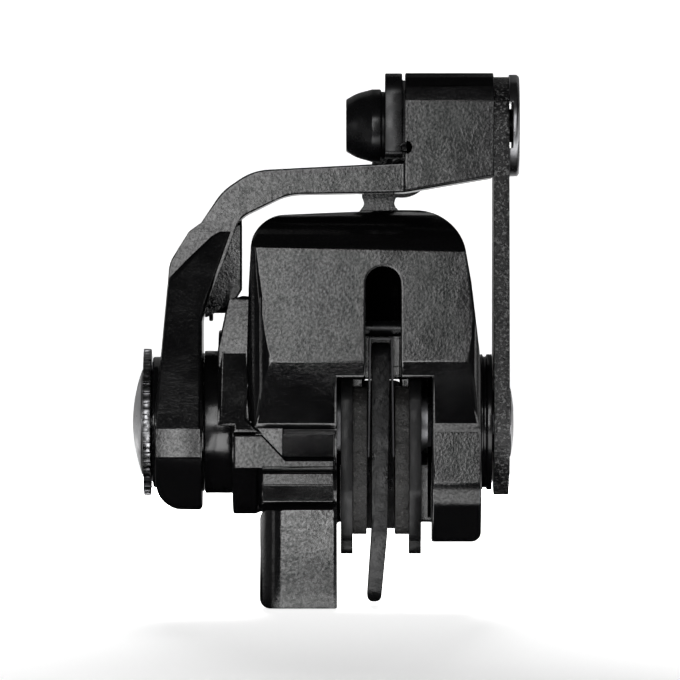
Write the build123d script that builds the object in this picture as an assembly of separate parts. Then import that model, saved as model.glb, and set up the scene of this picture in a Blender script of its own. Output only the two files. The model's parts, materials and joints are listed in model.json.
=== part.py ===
from build123d import *
from math import asin, cos, pi, radians, sin
import os

# A cable-pulled disc brake caliper with two moving pads, for a flat mount. Sizes are in millimetres.
# X runs across the rotor, from the outboard side to the inboard side. Y runs along the rotor's edge,
# towards the cable stop. Z points away from the mounting face. The origin lies on the mounting face,
# midway between the two mounting holes. The arm turns about one axis along X, at height AXIS_Z.

# Pivot axis and rotor plane
AXIS_Z = 27.3
ROTOR_X = 12.1
RUN_PLAY = 0.05
SEAT_PLAY = 0.02
CLEARANCE = 0.3
CUT_OVER = 1.0

# Mounting feet
FOOT_SPACING = 34.0
FOOT_WIDTH = 11.7
FOOT_DEPTH = 12.0
FOOT_HEIGHT = 14.55
FOOT_ROUND_OUT = 3.6
FOOT_ROUND_IN = 0.8
FOOT_HOLE_R = 2.1
FOOT_HOLE_DEPTH = 10.5
FOOT_EDGE = 0.7
BEAD_R = 2.1
BEAD_TOP_Z = 20.4
BEAD_REACH = 1.4

# Forged body
BODY_LEFT = -7.9
BODY_RIGHT = 27.0
BODY_TOP_Z = 59.1
BODY_BROW_Z = 53.9
BODY_LIP_Z = 26.6
BODY_SKIRT_Z = 9.45
BODY_HALF_DEPTH = 16.4
BROW_HALF_DEPTH = 15.2
SKIRT_HALF_DEPTH = 14.8
BODY_CORNER_OUT = 5.2
BODY_CORNER_IN = 7.5
BODY_PLAN_OUT = 4.2
BODY_PLAN_IN = 2.4
SKIRT_ROUND = 9.0
SKIRT_CORNER = 1.5
HOUSING_R = 13.5
FLANGE_R = 13.8
FLANGE_LEFT = -10.05
FLANGE_RIGHT = -6.3
RIM_LEFT = -12.15
RIM_INNER_R = 11.0
RIM_LOW_Z = 27.0
EAR_TOP_Z = 46.2
EAR_BACK_Y = -1.2
EAR_FRONT_Y = -12.4
EAR_SLOPE = 1.6

# Rotor slot and pad cavity
SLOT_WIDTH = 5.25
SLOT_SHIFT = 0.28
SLOT_TOP_Z = 50.55
SLOT_BACK_Y = 13.8
SLOT_BACK_Z = 41.5
SLOT_SLOPE_Y = 3.5
CAVITY_LEFT = 5.55
CAVITY_RIGHT = 19.65
CAVITY_TOP_Z = 34.05
EAR_POCKET_HALF = 5.3
EAR_POCKET_TOP_Z = 44.3
ABUTMENT_PLAY = 0.2
ABUTMENT_DEPTH = 2.0
ABUTMENT_LOW_Z = 12.0

# Cable stop on the back of the body
STOP_X = 15.45
STOP_Z = 66.0
STOP_FRONT_Y = 26.0
STOP_LENGTH = 6.0
STOP_R = 4.6
STOP_HOLE_R = 2.5
POST_LEFT = 8.8
POST_WIDTH = 6.4
POST_WAIST = 1.0
POST_THICK = 3.4

# Barrel adjuster and its friction ring
BARREL_BORE_R = 2.6
BARREL_BORE_DEPTH = 5.0
CABLE_HOLE_R = 1.0
BARREL_HEAD_R = 4.2
BARREL_HEAD_LENGTH = 6.4
BARREL_FLUTES = 12
BARREL_FLUTE_R = 0.55
O_RING_WIRE_R = 0.6
O_RING_R = 3.0

# Pads, pad pin and pad spring
PAD_GAP = 4.2
FRICTION_THICK = 2.1
PLATE_THICK = 1.8
PLATE_HALF_WIDTH = 12.8
PLATE_LOW_Z = 9.6
PLATE_TAB_Z = 7.65
PLATE_TAB_HALF = 5.2
PLATE_TOP_CLEAR = 0.25
PAD_EAR_HALF = 4.6
PAD_EAR_CLEAR = 0.7
PAD_ROUND = 2.6
FRICTION_INSET = 1.2
FRICTION_LOW_Z = 10.6
PIN_R = 1.2
PIN_Z = 41.3
PIN_HEAD_R = 2.2
PIN_HEAD_LENGTH = 1.3
PIN_DEPTH_IN = 3.2
PIN_SLOT_WIDTH = 0.8
PIN_SLOT_DEPTH = 0.6
SPRING_STRIP = 0.3
SPRING_STRIP_GAP = 0.12
SPRING_HALF_WIDTH = 1.75
SPRING_FOOT_SPREAD = 0.25
SPRING_LOW_Z = 22.2
SPRING_LEG_WIDTH = 1.2
SPRING_LEG_Y = 12.2

# Transport spacer
SPACER_TOP_Z = 39.2
SPACER_TOP_THICK = 2.8
SPACER_MID_THICK = 2.4
SPACER_TIP_THICK = 2.1
SPACER_MID_Z = 11.0
SPACER_TIP_Z = 0.5
SPACER_MID_SHIFT = -0.2
SPACER_TIP_SHIFT = -1.05
SPACER_HALF_WIDTH = 9.5
SPACER_TIP_HALF = 6.5
SPACER_BEND_R = 40.0
SPACER_WEB = 1.6
SPACER_FLANGE_HALF = 3.6
SPACER_FLANGE_THICK = 0.9
SPACER_FLANGE_TOP_Z = 33.5
SPACER_FLANGE_LOW_Z = 11.0

# Ball and ramp mechanism, measured outwards from the back of each pad plate
FOOT_THICK = 1.0
FOOT_R = 6.5
STEM_FLATS = 7.4
STEM_END = 2.8
NOSE_START = 1.7
NOSE_R = 5.2
PUSHER_START = 2.5
PUSHER_END = 5.4
PUSHER_R = 8.6
POCKET_END = 4.2
POCKET_PLAY = 0.1
KEY_WIDTH = 3.0
KEY_R = 10.3
KEY_PLAY = 0.1
KEY_INSET = 0.3
BALL_R = 1.5
BALL_PLANE = 6.2
BALL_CIRCLE_R = 6.2
BALL_COUNT = 3
BALL_PLAY = 0.05
CAGE_THICK = 0.7
CAM_START = 7.0
CAM_END = 8.9
CAM_R = 8.6
CHAMBER_R = 9.0
CHAMBER_START = -0.6
ARM_STROKE_DEG = 22.0
PAD_STROKE = 0.42
WASHER_THICK = 0.6
WASHER_R = 8.4
WASHER_GAP = 0.08
SHAFT_R = 2.2
SHAFT_PLAY = 0.07
SHAFT_THREAD_R = 2.5
SHAFT_COLLAR_R = 3.4
SHAFT_COLLAR_START = 3.4
SHAFT_COLLAR_END = 4.1
SHAFT_TIP = 1.1
PISTON_WALL = 0.4
SPINDLE_R = 4.6
SPINDLE_FLATS = 8.0
SPINDLE_THREAD_R = 4.0

# Outboard side: bush, spring and its cup
BUSH_R = 6.0
CUP_LEFT = -14.25
CUP_R = 10.7
CUP_WALL = 1.1
CUP_LIP = 0.55
CUP_LIP_R = 7.4
SPRING_RECESS = 1.5
COIL_WIRE_R = 0.6
COIL_R = 7.6
COIL_TURNS = 2.25
COIL_PITCH = 1.6
COIL_BEND_R = 1.4
COIL_LEG = 1.3
COIL_HOLE_PLAY = 0.15
COIL_START_X = -13.1

# Inboard side: end cap and rings
CAP_LEFT = 25.9
CAP_RIGHT = 28.75
CAP_R = 10.2
CAP_SPIGOT_R = 9.7
CAP_GROOVE = 0.35
CAP_GROOVE_WIDTH = 0.5

# Forged arm
ARM_LEFT = -21.6
ARM_FACE = -14.55
ARM_HUB_R = 13.2
ARM_TOP_Z = 66.1
ARM_UNDER_Z = 61.65
ARM_HALF_HIGH = 6.2
ARM_HALF_LOW = 9.0
ARM_EDGE = 0.6
ARM_TOE_R = 4.2
WEB_THICK = 3.6
WEB_FRONT_Y = 0.4
NUB_WIDTH = 0.6
NUB_HEIGHT = 1.2
BLOCK_LEFT = 15.75
BLOCK_RIGHT = 28.95
BLOCK_R = 7.8
BLOCK_HALF_DEPTH = 7.5
BLOCK_ROUND = 4.3
BLOCK_SLOPE_SHARE = 0.058
BOLT_Z = 71.75

# Arm nut, dial and cap
NUT_R = 6.4
NUT_DEPTH = 2.1
NUT_PLAY = 0.3
NUT_NOTCH = 1.4
DIAL_LEFT = -23.4
DIAL_RIGHT = -22.25
DIAL_R = 11.0
DIAL_TEETH = 40
DIAL_TOOTH_DEPTH = 0.55
DIAL_TOOTH_SHARE = 0.5
DIAL_RING_SHARE = 0.8
DIAL_RECESS = 0.3
DOME_R = 7.85
DOME_RISE = 1.65
DOME_RIM = 0.25

# Clamp bolt, clamp plate and nut
BOLT_R = 2.5
BOLT_HOLE_PLAY = 0.05
HEAD_LEFT = 6.9
HEAD_FACE_R = 3.9
HEAD_R = 5.45
HEAD_MID_X = 8.4
HEAD_MID_R = 4.8
HEAD_WIDE_X = 10.8
HEAD_RIGHT = 12.15
HEAD_ROUND = 0.3
COLLAR_R = 5.4
COLLAR_RIGHT = 12.75
HEAD_SOCKET_FLATS = 4.0
HEAD_SOCKET_DEPTH = 2.6
CLAMP_HALF_WIDTH = 6.4
CLAMP_LOW_Z = 66.9
CLAMP_TOP_Z = 79.5
CLAMP_ROUND = 3.2
CLAMP_PAD = 0.45
CLAMP_PAD_INSET = 1.1
CABLE_GROOVE_R = 0.8
CABLE_DROP = 3.4
YOKE_NUT_R = 7.65
YOKE_NUT_RIGHT = 32.85
YOKE_NUT_RIM = 0.35
NUT_SLOT_DEPTH = 0.5
NUT_SLOT_HALF = 3.5

# Link plate and its lower nut
LINK_RIGHT = 31.29
LINK_LOW_R = 10.95
LINK_HIGH_R = 7.3
PIVOT_NUT_R = 5.15
PIVOT_NUT_THREAD_R = 3.4
PIVOT_NUT_RISE = 0.8

# Values worked out from the ones above
PAD_FACE_OUT = ROTOR_X - PAD_GAP / 2
PAD_FACE_IN = ROTOR_X + PAD_GAP / 2
PLATE_FACE_OUT = PAD_FACE_OUT - FRICTION_THICK
PLATE_FACE_IN = PAD_FACE_IN + FRICTION_THICK
BACK_OUT = PLATE_FACE_OUT - PLATE_THICK
BACK_IN = PLATE_FACE_IN + PLATE_THICK
RAMP_PER_RADIAN = PAD_STROKE / radians(ARM_STROKE_DEG)
SLOT_X = ROTOR_X + SLOT_SHIFT
SPINDLE_BORE_R = SHAFT_R + SHAFT_PLAY
LINK_LEFT = BLOCK_RIGHT
HOUSING_LOW_Z = AXIS_Z - HOUSING_R


def disc(radius, x_from, x_to, y=0, z=AXIS_Z):
    """A round bar along X."""
    bar = Cylinder(radius, x_to - x_from, align=(Align.CENTER, Align.CENTER, Align.MIN))
    return Pos(x_from, y, z) * Rot(0, 90, 0) * bar


def ring(outer, inner, x_from, x_to, y=0, z=AXIS_Z):
    """A round tube along X."""
    hole = disc(inner, x_from - CUT_OVER, x_to + CUT_OVER, y, z)
    return disc(outer, x_from, x_to, y, z) - hole


def rod_y(radius, y_from, y_to, x=0, z=0):
    """A round bar along Y."""
    bar = Cylinder(radius, y_to - y_from, align=(Align.CENTER, Align.CENTER, Align.MIN))
    return Pos(x, y_from, z) * Rot(-90, 0, 0) * bar


def block(x_from, x_to, y_from, y_to, z_from, z_to):
    """A rectangular block between two corners."""
    solid = Box(x_to - x_from, y_to - y_from, z_to - z_from, align=(Align.MIN, Align.MIN, Align.MIN))
    return Pos(x_from, y_from, z_from) * solid


def outline(corners):
    """A closed face from corners given as (across, up, radius)."""
    points = [(across, up) for across, up, radius in corners]
    rounds = [radius for across, up, radius in corners]
    return make_face(FilletPolyline(*points, radius=rounds, close=True))


def front_prism(corners, y_from, y_to):
    """An outline seen from the front, as deep as y_from to y_to."""
    return extrude(Plane.XZ.offset(-y_to) * outline(corners), y_to - y_from)


def side_prism(corners, x_from, x_to):
    """An outline seen from the side, as wide as x_from to x_to."""
    return extrude(Plane.YZ.offset(x_from) * outline(corners), x_to - x_from)


def hexagon(flats, x_from, x_to, z=AXIS_Z):
    """A six-sided bar along X."""
    face = Plane.YZ.offset(x_from) * Pos(0, z) * RegularPolygon(flats / 2, 6, major_radius=False)
    return extrude(face, x_to - x_from)


def place(shape, side):
    """Moves a piece made outwards from X = 0 to the back of the outboard or inboard pad."""
    if side == "outboard":
        return Pos(BACK_OUT, 0, 0) * mirror(shape, about=Plane.YZ)
    return Pos(BACK_IN, 0, 0) * shape


def ramp_point(turn_deg):
    """How far behind the pad a ball's centre lies on its ramp, turned from its rest place."""
    return BALL_PLANE + RAMP_PER_RADIAN * radians(turn_deg)


def ball_place(around_deg, turn_deg):
    """A ball centre, on the ball circle at an angle from the top, towards the cable stop."""
    angle = radians(around_deg + turn_deg)
    return Vector(ramp_point(turn_deg), BALL_CIRCLE_R * sin(angle), AXIS_Z + BALL_CIRCLE_R * cos(angle))


def ball_angles():
    return [360 * number / BALL_COUNT + 60 for number in range(BALL_COUNT)]


def ramp_grooves(low_deg, high_deg):
    """The tracks of the balls in one of the two ramp discs."""
    radius = BALL_R + BALL_PLAY
    grooves = Part()
    for around in ball_angles():
        ends = [ball_place(around, turn) for turn in (low_deg, (low_deg + high_deg) / 2, high_deg)]
        track = ThreePointArc(*ends)
        section = Plane(origin=track @ 0, z_dir=track % 0) * Circle(radius)
        grooves += sweep(section, path=track)
        grooves += Pos(ends[0]) * Sphere(radius)
        grooves += Pos(ends[-1]) * Sphere(radius)
    return grooves


def keys(radius, width, d_from, d_to):
    """A bar across the axis, whose two ends run in the body's key slots."""
    return block(d_from, d_to, -width / 2, width / 2, AXIS_Z - radius, AXIS_Z + radius)


def balls(side):
    group = [Pos(ball_place(around, 0)) * Sphere(BALL_R) for around in ball_angles()]
    return Compound(children=[place(ball, side) for ball in group])


def ball_cage(side):
    """A keyed ring with a curved window for each ball, which rolls half as far as the arm turns."""
    low = BALL_PLANE - CAGE_THICK / 2
    high = BALL_PLANE + CAGE_THICK / 2
    cage = disc(PUSHER_R, low, high) + keys(KEY_R - KEY_PLAY, KEY_WIDTH, low, high)
    cage -= disc(SHAFT_COLLAR_R, low - CUT_OVER, high + CUT_OVER)
    width = 2 * (BALL_R + BALL_PLAY)
    for around in ball_angles():
        window = CenterArc((0, 0), BALL_CIRCLE_R, 90 - around - ARM_STROKE_DEG / 2, ARM_STROKE_DEG / 2)
        slot = Plane.YZ.offset(low - CUT_OVER) * Pos(0, AXIS_Z) * SlotArc(window, width)
        cage -= extrude(slot, CAGE_THICK + 2 * CUT_OVER)
    return place(cage, side)


def pusher(side):
    """The disc that slides and doesn't turn, with ramps on its back and a pocket for the piston."""
    part = disc(PUSHER_R, PUSHER_START, PUSHER_END) + disc(NOSE_R, NOSE_START, PUSHER_START)
    part += keys(KEY_R - KEY_PLAY, KEY_WIDTH, PUSHER_START + KEY_INSET, PUSHER_END - KEY_INSET)
    part -= hexagon(STEM_FLATS + POCKET_PLAY, NOSE_START - CUT_OVER, POCKET_END)
    part -= disc(SPINDLE_BORE_R, POCKET_END - CUT_OVER, PUSHER_END + CUT_OVER)
    part -= ramp_grooves(0, ARM_STROKE_DEG / 2)
    return place(part, side)


def piston(side):
    """The foot behind the pad, with a six-sided stem that can't turn in the pusher."""
    part = disc(FOOT_R, 0, FOOT_THICK) + hexagon(STEM_FLATS, FOOT_THICK, STEM_END)
    bore_r = SHAFT_THREAD_R + RUN_PLAY
    part -= disc(bore_r, PISTON_WALL, STEM_END + CUT_OVER)
    return place(part, side)


def cam(d_end):
    """The ramp flange and round shank of a spindle, up to d_end.

    Its ramps are the pusher's ramps turned half round about the plane of the balls.
    """
    twin = disc(CAM_R, 2 * BALL_PLANE - CAM_END, 2 * BALL_PLANE - CAM_START)
    twin -= ramp_grooves(0, ARM_STROKE_DEG / 2)
    flange = Pos(2 * BALL_PLANE, 0, 0) * Rot(0, 0, 180) * twin
    return flange + disc(SPINDLE_R, CAM_END, d_end)


def adjuster_shaft_bar(d_end):
    """The threaded tip, collar and plain shaft of an adjuster."""
    part = disc(SHAFT_THREAD_R, SHAFT_TIP, SHAFT_COLLAR_START)
    part += disc(SHAFT_COLLAR_R, SHAFT_COLLAR_START, SHAFT_COLLAR_END)
    return part + disc(SHAFT_R, SHAFT_COLLAR_END, d_end)


def outboard_spindle():
    d_face = BACK_OUT - ARM_FACE
    d_nut = BACK_OUT - ARM_LEFT - NUT_DEPTH
    d_end = BACK_OUT - ARM_LEFT
    part = cam(d_face) + hexagon(SPINDLE_FLATS, d_face, d_nut)
    part += disc(SPINDLE_THREAD_R, d_nut, d_end)
    part -= disc(SPINDLE_BORE_R, CAM_START - CUT_OVER, d_end + CUT_OVER)
    return place(part, "outboard")


def inboard_spindle():
    d_link = LINK_LEFT - BACK_IN
    d_flush = LINK_RIGHT - BACK_IN
    d_end = d_flush + PIVOT_NUT_RISE / 2
    part = cam(d_link) + hexagon(SPINDLE_FLATS, d_link, d_flush)
    part += disc(PIVOT_NUT_THREAD_R, d_flush, d_end)
    part -= disc(SPINDLE_BORE_R, CAM_START - CUT_OVER, d_end + CUT_OVER)
    return place(part, "inboard")


def adjuster_shaft():
    return place(adjuster_shaft_bar(BACK_OUT - DIAL_LEFT), "outboard")


def inboard_adjuster():
    """The inboard adjuster, turned with a hex key through the pivot nut."""
    d_end = LINK_RIGHT - BACK_IN
    part = adjuster_shaft_bar(d_end)
    part -= hexagon(SHAFT_R, d_end - SHAFT_THREAD_R, d_end + CUT_OVER)
    return place(part, "inboard")


def thrust_washer(side):
    start = CAM_END + WASHER_GAP
    part = ring(WASHER_R, SPINDLE_R + RUN_PLAY, start, start + WASHER_THICK)
    return place(part, side)


def shoulder_reach():
    """How far behind the pad the ramp mechanism ends, at the seat of its thrust washer."""
    return CAM_END + WASHER_GAP + WASHER_THICK + SEAT_PLAY


def outboard_bush():
    shoulder = BACK_OUT - shoulder_reach()
    return ring(BUSH_R, SPINDLE_R + RUN_PLAY, FLANGE_LEFT + SPRING_RECESS, shoulder)


def coil_point(turns, radius=COIL_R):
    angle = 2 * pi * turns
    return Vector(COIL_START_X + COIL_PITCH * turns, radius * sin(angle), AXIS_Z + radius * cos(angle))


def coil_leg(start, along, axial):
    """A bend from the coil into a short leg along the axis."""
    middle = start + along * (COIL_BEND_R * sin(pi / 4)) + axial * (COIL_BEND_R * (1 - cos(pi / 4)))
    bend_end = start + along * COIL_BEND_R + axial * COIL_BEND_R
    return [ThreePointArc(start, middle, bend_end), Line(bend_end, bend_end + axial * COIL_LEG)]


def coil_tangent(turns):
    angle = 2 * pi * turns
    return Vector(0, cos(angle), -sin(angle))


def return_spring():
    """The torsion spring round the spindle, with one leg in the arm and one in the body."""
    quarters = int(4 * COIL_TURNS)
    edges = coil_leg(coil_point(0), coil_tangent(0) * -1, Vector(-1, 0, 0))
    for quarter in range(quarters):
        stations = [(quarter + part) / 4 for part in (0, 0.5, 1)]
        edges.append(ThreePointArc(*[coil_point(station) for station in stations]))
    edges += coil_leg(coil_point(COIL_TURNS), coil_tangent(COIL_TURNS), Vector(1, 0, 0))
    path = Wire([edge for line in edges for edge in line.edges()])
    start = Plane(origin=path @ 0, z_dir=path % 0)
    return sweep(start * Circle(COIL_WIRE_R), path=path)


def coil_holes():
    """The two holes that the spring's legs stand in."""
    reach = COIL_LEG + COIL_BEND_R
    radius = COIL_WIRE_R + COIL_HOLE_PLAY
    first = coil_point(0) + coil_tangent(0) * -COIL_BEND_R
    last = coil_point(COIL_TURNS) + coil_tangent(COIL_TURNS) * COIL_BEND_R
    arm_hole = disc(radius, first.X - reach - COIL_HOLE_PLAY, first.X, first.Y, first.Z)
    body_hole = disc(radius, last.X, last.X + reach + COIL_HOLE_PLAY, last.Y, last.Z)
    return arm_hole, body_hole


def spring_housing():
    """The round cup over the return spring."""
    cup = ring(CUP_R, CUP_R - CUP_WALL, CUP_LEFT, FLANGE_LEFT)
    return cup + ring(CUP_R, CUP_LIP_R + COIL_WIRE_R * 2 + COIL_HOLE_PLAY, CUP_LEFT, CUP_LEFT + CUP_LIP)


def body_front():
    """The body's front outline, without the housing and feet."""
    width = BODY_RIGHT - BODY_LEFT
    height = BODY_TOP_Z - BODY_SKIRT_Z
    shares = [
        (0.0, BODY_LIP_Z, 0),
        (0.009, AXIS_Z + 0.4 * height, 0),
        (0.026, BODY_TOP_Z - 0.02 * height, BODY_CORNER_OUT),
        (0.656, BODY_TOP_Z, 0),
        (0.903, BODY_TOP_Z - 0.004 * height, BODY_CORNER_IN),
        (0.957, BODY_TOP_Z - 0.22 * height, 0),
        (0.991, BODY_TOP_Z - 0.423 * height, 0),
        (1.0, BODY_TOP_Z - 0.506 * height, 0),
        (1.0, BODY_SKIRT_Z, SKIRT_CORNER),
        (0.6, BODY_SKIRT_Z, 0),
        (0.6, BODY_LIP_Z, 0),
    ]
    return [(BODY_LEFT + share * width, z, radius) for share, z, radius in shares]


def body_side():
    """The body's side outline: a domed top, faces that slope in to the lip, and a rounded skirt."""
    face_z = BODY_LIP_Z + 0.36 * (BODY_BROW_Z - BODY_LIP_Z)
    brow = (BROW_HALF_DEPTH, BODY_BROW_Z)
    dome = ThreePointArc((-brow[0], brow[1]), (0, BODY_TOP_Z), brow)
    half = [
        (BODY_HALF_DEPTH, face_z),
        (BODY_HALF_DEPTH * 0.94, BODY_LIP_Z + 0.02 * AXIS_Z),
        (SKIRT_HALF_DEPTH, BODY_LIP_Z - 0.02 * AXIS_Z),
        (SKIRT_HALF_DEPTH, BODY_SKIRT_Z + SKIRT_ROUND),
    ]
    low = (SKIRT_HALF_DEPTH - SKIRT_ROUND, BODY_SKIRT_Z)
    down = Polyline(brow, *half)
    corner = RadiusArc(half[-1], low, SKIRT_ROUND)
    across = Line(low, (-low[0], low[1]))
    corner_back = RadiusArc((-low[0], low[1]), (-half[-1][0], half[-1][1]), SKIRT_ROUND)
    up = Polyline(*[(-y, z) for y, z in reversed(half)], (-brow[0], brow[1]))
    return make_face([dome, down, corner, across, corner_back, up])


def body_block():
    depth = BODY_HALF_DEPTH + CUT_OVER
    side = extrude(Plane.YZ.offset(BODY_LEFT - CUT_OVER) * body_side(), BODY_RIGHT - BODY_LEFT + 2 * CUT_OVER)
    plan = extrude(outline([
        (BODY_LEFT, -BODY_HALF_DEPTH, BODY_PLAN_OUT),
        (BODY_RIGHT, -BODY_HALF_DEPTH, BODY_PLAN_IN),
        (BODY_RIGHT, BODY_HALF_DEPTH, BODY_PLAN_IN),
        (BODY_LEFT, BODY_HALF_DEPTH, BODY_PLAN_OUT),
    ]), BODY_TOP_Z + CUT_OVER)
    return front_prism(body_front(), -depth, depth) & side & plan


def housing():
    """The round ramp housing with its flange, and the raised half rim round the spring cup."""
    part = disc(HOUSING_R, FLANGE_RIGHT, CAVITY_LEFT) + disc(FLANGE_R, FLANGE_LEFT, FLANGE_RIGHT)
    rim = ring(FLANGE_R, RIM_INNER_R, RIM_LEFT, FLANGE_LEFT)
    rim -= block(RIM_LEFT - CUT_OVER, FLANGE_LEFT, -FLANGE_R, FLANGE_R, AXIS_Z - FLANGE_R, RIM_LOW_Z)
    return part + rim


def ear():
    """The ear that rises from the flange in front of the arm's web, and stops the arm."""
    top = EAR_TOP_Z
    base = AXIS_Z + RIM_INNER_R * 0.75
    right = BODY_LEFT + POST_THICK
    corners = [
        (RIM_LEFT, base, 0),
        (RIM_LEFT, AXIS_Z + RIM_INNER_R, 0),
        (RIM_LEFT + (FLANGE_LEFT - RIM_LEFT) * 0.5, top - EAR_SLOPE * 1.7, 0),
        (RIM_LEFT + (FLANGE_LEFT - RIM_LEFT) * 0.8, top - EAR_SLOPE * 0.4, EAR_SLOPE / 3),
        (FLANGE_LEFT + EAR_SLOPE, top, 0),
        (right, top - EAR_SLOPE * 0.3, 0),
        (right, base, 0),
    ]
    side = [
        (EAR_FRONT_Y, base, 0),
        (EAR_FRONT_Y, AXIS_Z + RIM_INNER_R, 0),
        (EAR_FRONT_Y + EAR_SLOPE, top, EAR_SLOPE / 2),
        (EAR_BACK_Y, top, 0),
        (EAR_BACK_Y, base, 0),
    ]
    part = front_prism(corners, EAR_FRONT_Y - CUT_OVER, EAR_BACK_Y + CUT_OVER)
    part &= side_prism(side, RIM_LEFT - CUT_OVER, right + CUT_OVER)
    return part - disc(RIM_INNER_R, RIM_LEFT - CUT_OVER, FLANGE_LEFT)


def foot():
    """The foot on the front, with the beaded bracket that joins it to the housing."""
    half = FOOT_WIDTH / 2
    middle = -FOOT_SPACING / 2
    near = middle - FOOT_DEPTH / 2
    far = middle + FOOT_DEPTH / 2
    plan = [
        (-half, near, FOOT_ROUND_OUT),
        (half, near, FOOT_ROUND_IN),
        (half, far, FOOT_ROUND_IN),
        (-half, far, FOOT_ROUND_IN),
    ]
    pad = extrude(outline(plan), FOOT_HEIGHT)
    pad &= front_prism([(-half, 0, 2.2 * FOOT_EDGE), (half, 0, FOOT_EDGE), (half, FOOT_HEIGHT, FOOT_EDGE),
                        (-half, FOOT_HEIGHT, 2 * FOOT_EDGE)], near - CUT_OVER, far + CUT_OVER)
    crown = near + BEAD_REACH
    bracket = [
        (crown, BEAD_TOP_Z, BEAD_R),
        (crown, BEAD_TOP_Z - 2.2 * BEAD_R, BEAD_R),
        (crown + BEAD_R, BEAD_TOP_Z - 2.35 * BEAD_R, 0),
        (near + BEAD_REACH * 1.5, FOOT_HEIGHT - FOOT_EDGE, 0),
        (far - FOOT_EDGE, FOOT_HEIGHT - FOOT_EDGE * 3, 0),
        (far + FOOT_EDGE, HOUSING_LOW_Z + HOUSING_R * 0.12, 0),
        (-HOUSING_R * 0.55, AXIS_Z - HOUSING_R * 0.7, 0),
        (-HOUSING_R * 0.75, BEAD_TOP_Z + BEAD_R * 0.4, 0),
    ]
    return pad + side_prism(bracket, -half + FOOT_EDGE / 2, CAVITY_LEFT)


def cable_stop():
    """The bracket on the back of the body and the boss that holds the barrel adjuster."""
    root = BROW_HALF_DEPTH - POST_THICK
    low = SLOT_TOP_Z + CLEARANCE
    back = STOP_FRONT_Y + STOP_LENGTH
    profile = [
        (root, low, 0),
        (STOP_FRONT_Y - POST_THICK / 2, low, POST_THICK),
        (back, low + POST_THICK * 1.4, POST_THICK),
        (back, STOP_Z, 0),
        (STOP_FRONT_Y, STOP_Z, 0),
        (STOP_FRONT_Y, low + POST_THICK * 2.3, POST_THICK / 2),
        (STOP_FRONT_Y - POST_THICK * 1.65, low + POST_THICK, POST_THICK),
        (root, low + POST_THICK * 1.3, 0),
    ]
    waist_z = (BODY_TOP_Z + ARM_UNDER_Z) / 2
    right = POST_LEFT + POST_WIDTH
    face = [
        (POST_LEFT, low - CUT_OVER, 0),
        (POST_LEFT, BODY_TOP_Z, 0),
        (POST_LEFT + POST_WAIST, waist_z, POST_WAIST),
        (POST_LEFT + POST_WAIST / 2, ARM_UNDER_Z, 0),
        (STOP_X - STOP_R, STOP_Z, 0),
        (STOP_X + STOP_R, STOP_Z, 0),
        (right - POST_WAIST / 2, ARM_UNDER_Z, 0),
        (right - POST_WAIST, waist_z, POST_WAIST),
        (right, BODY_TOP_Z, 0),
        (right, low - CUT_OVER, 0),
    ]
    post = side_prism(profile, POST_LEFT - CUT_OVER, STOP_X + STOP_R + CUT_OVER)
    post &= front_prism(face, root - CUT_OVER, back + CUT_OVER)
    return post + rod_y(STOP_R, STOP_FRONT_Y, back, STOP_X, STOP_Z)


def cavity():
    """The rotor slot, the pad cavity and the pocket for the pads' ears."""
    depth = BODY_HALF_DEPTH + CUT_OVER
    half = SLOT_WIDTH / 2
    slot = block(SLOT_X - half, SLOT_X + half, -depth, SLOT_BACK_Y, CAVITY_TOP_Z - CUT_OVER,
                 SLOT_TOP_Z - half)
    slot += rod_y(half, -depth, SLOT_BACK_Y, SLOT_X, SLOT_TOP_Z - half)
    slot &= side_prism([
        (-depth, CAVITY_TOP_Z - CUT_OVER, 0),
        (SLOT_BACK_Y, CAVITY_TOP_Z - CUT_OVER, 0),
        (SLOT_BACK_Y, SLOT_BACK_Z, 0),
        (SLOT_SLOPE_Y, SLOT_TOP_Z, 0),
        (-depth, SLOT_TOP_Z, 0),
    ], SLOT_X - SLOT_WIDTH, SLOT_X + SLOT_WIDTH)
    deep = FOOT_SPACING
    pads = block(CAVITY_LEFT, CAVITY_RIGHT, -deep, deep, -CUT_OVER, CAVITY_TOP_Z)
    pocket = block(CAVITY_LEFT, CAVITY_RIGHT, -EAR_POCKET_HALF, EAR_POCKET_HALF, CAVITY_TOP_Z - CUT_OVER,
                   EAR_POCKET_TOP_Z)
    return slot + pads + pocket


def abutments():
    """The walls at the back of the cavity that the pad plates bear on, with the rotor's gap between them."""
    front = PLATE_HALF_WIDTH + ABUTMENT_PLAY
    back = front + ABUTMENT_DEPTH
    left = CAVITY_LEFT - CUT_OVER
    right = CAVITY_RIGHT + CUT_OVER
    half = SLOT_WIDTH / 2
    out = block(left, SLOT_X - half, front, back, ABUTMENT_LOW_Z, CAVITY_TOP_Z)
    return out + block(SLOT_X + half, right, front, back, ABUTMENT_LOW_Z, CAVITY_TOP_Z)


def chamber(side):
    """The bore of one ramp mechanism with its two key slots."""
    end = shoulder_reach()
    part = disc(CHAMBER_R, CHAMBER_START - CUT_OVER, end)
    width = KEY_WIDTH + 2 * KEY_PLAY
    part += keys(KEY_R, width, CHAMBER_START - CUT_OVER, BALL_PLANE + CAGE_THICK)
    return place(part, side)


def pad_pin():
    """The slotted pin through both pad ears."""
    head_right = BODY_LEFT + PIN_HEAD_LENGTH
    pin = disc(PIN_R, head_right, CAVITY_RIGHT + PIN_DEPTH_IN, 0, PIN_Z)
    pin += disc(PIN_HEAD_R, BODY_LEFT, head_right, 0, PIN_Z)
    half = PIN_SLOT_WIDTH / 2
    slot = block(BODY_LEFT - CUT_OVER, BODY_LEFT + PIN_SLOT_DEPTH, -PIN_HEAD_R, PIN_HEAD_R, PIN_Z - half,
                 PIN_Z + half)
    return pin - slot


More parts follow.
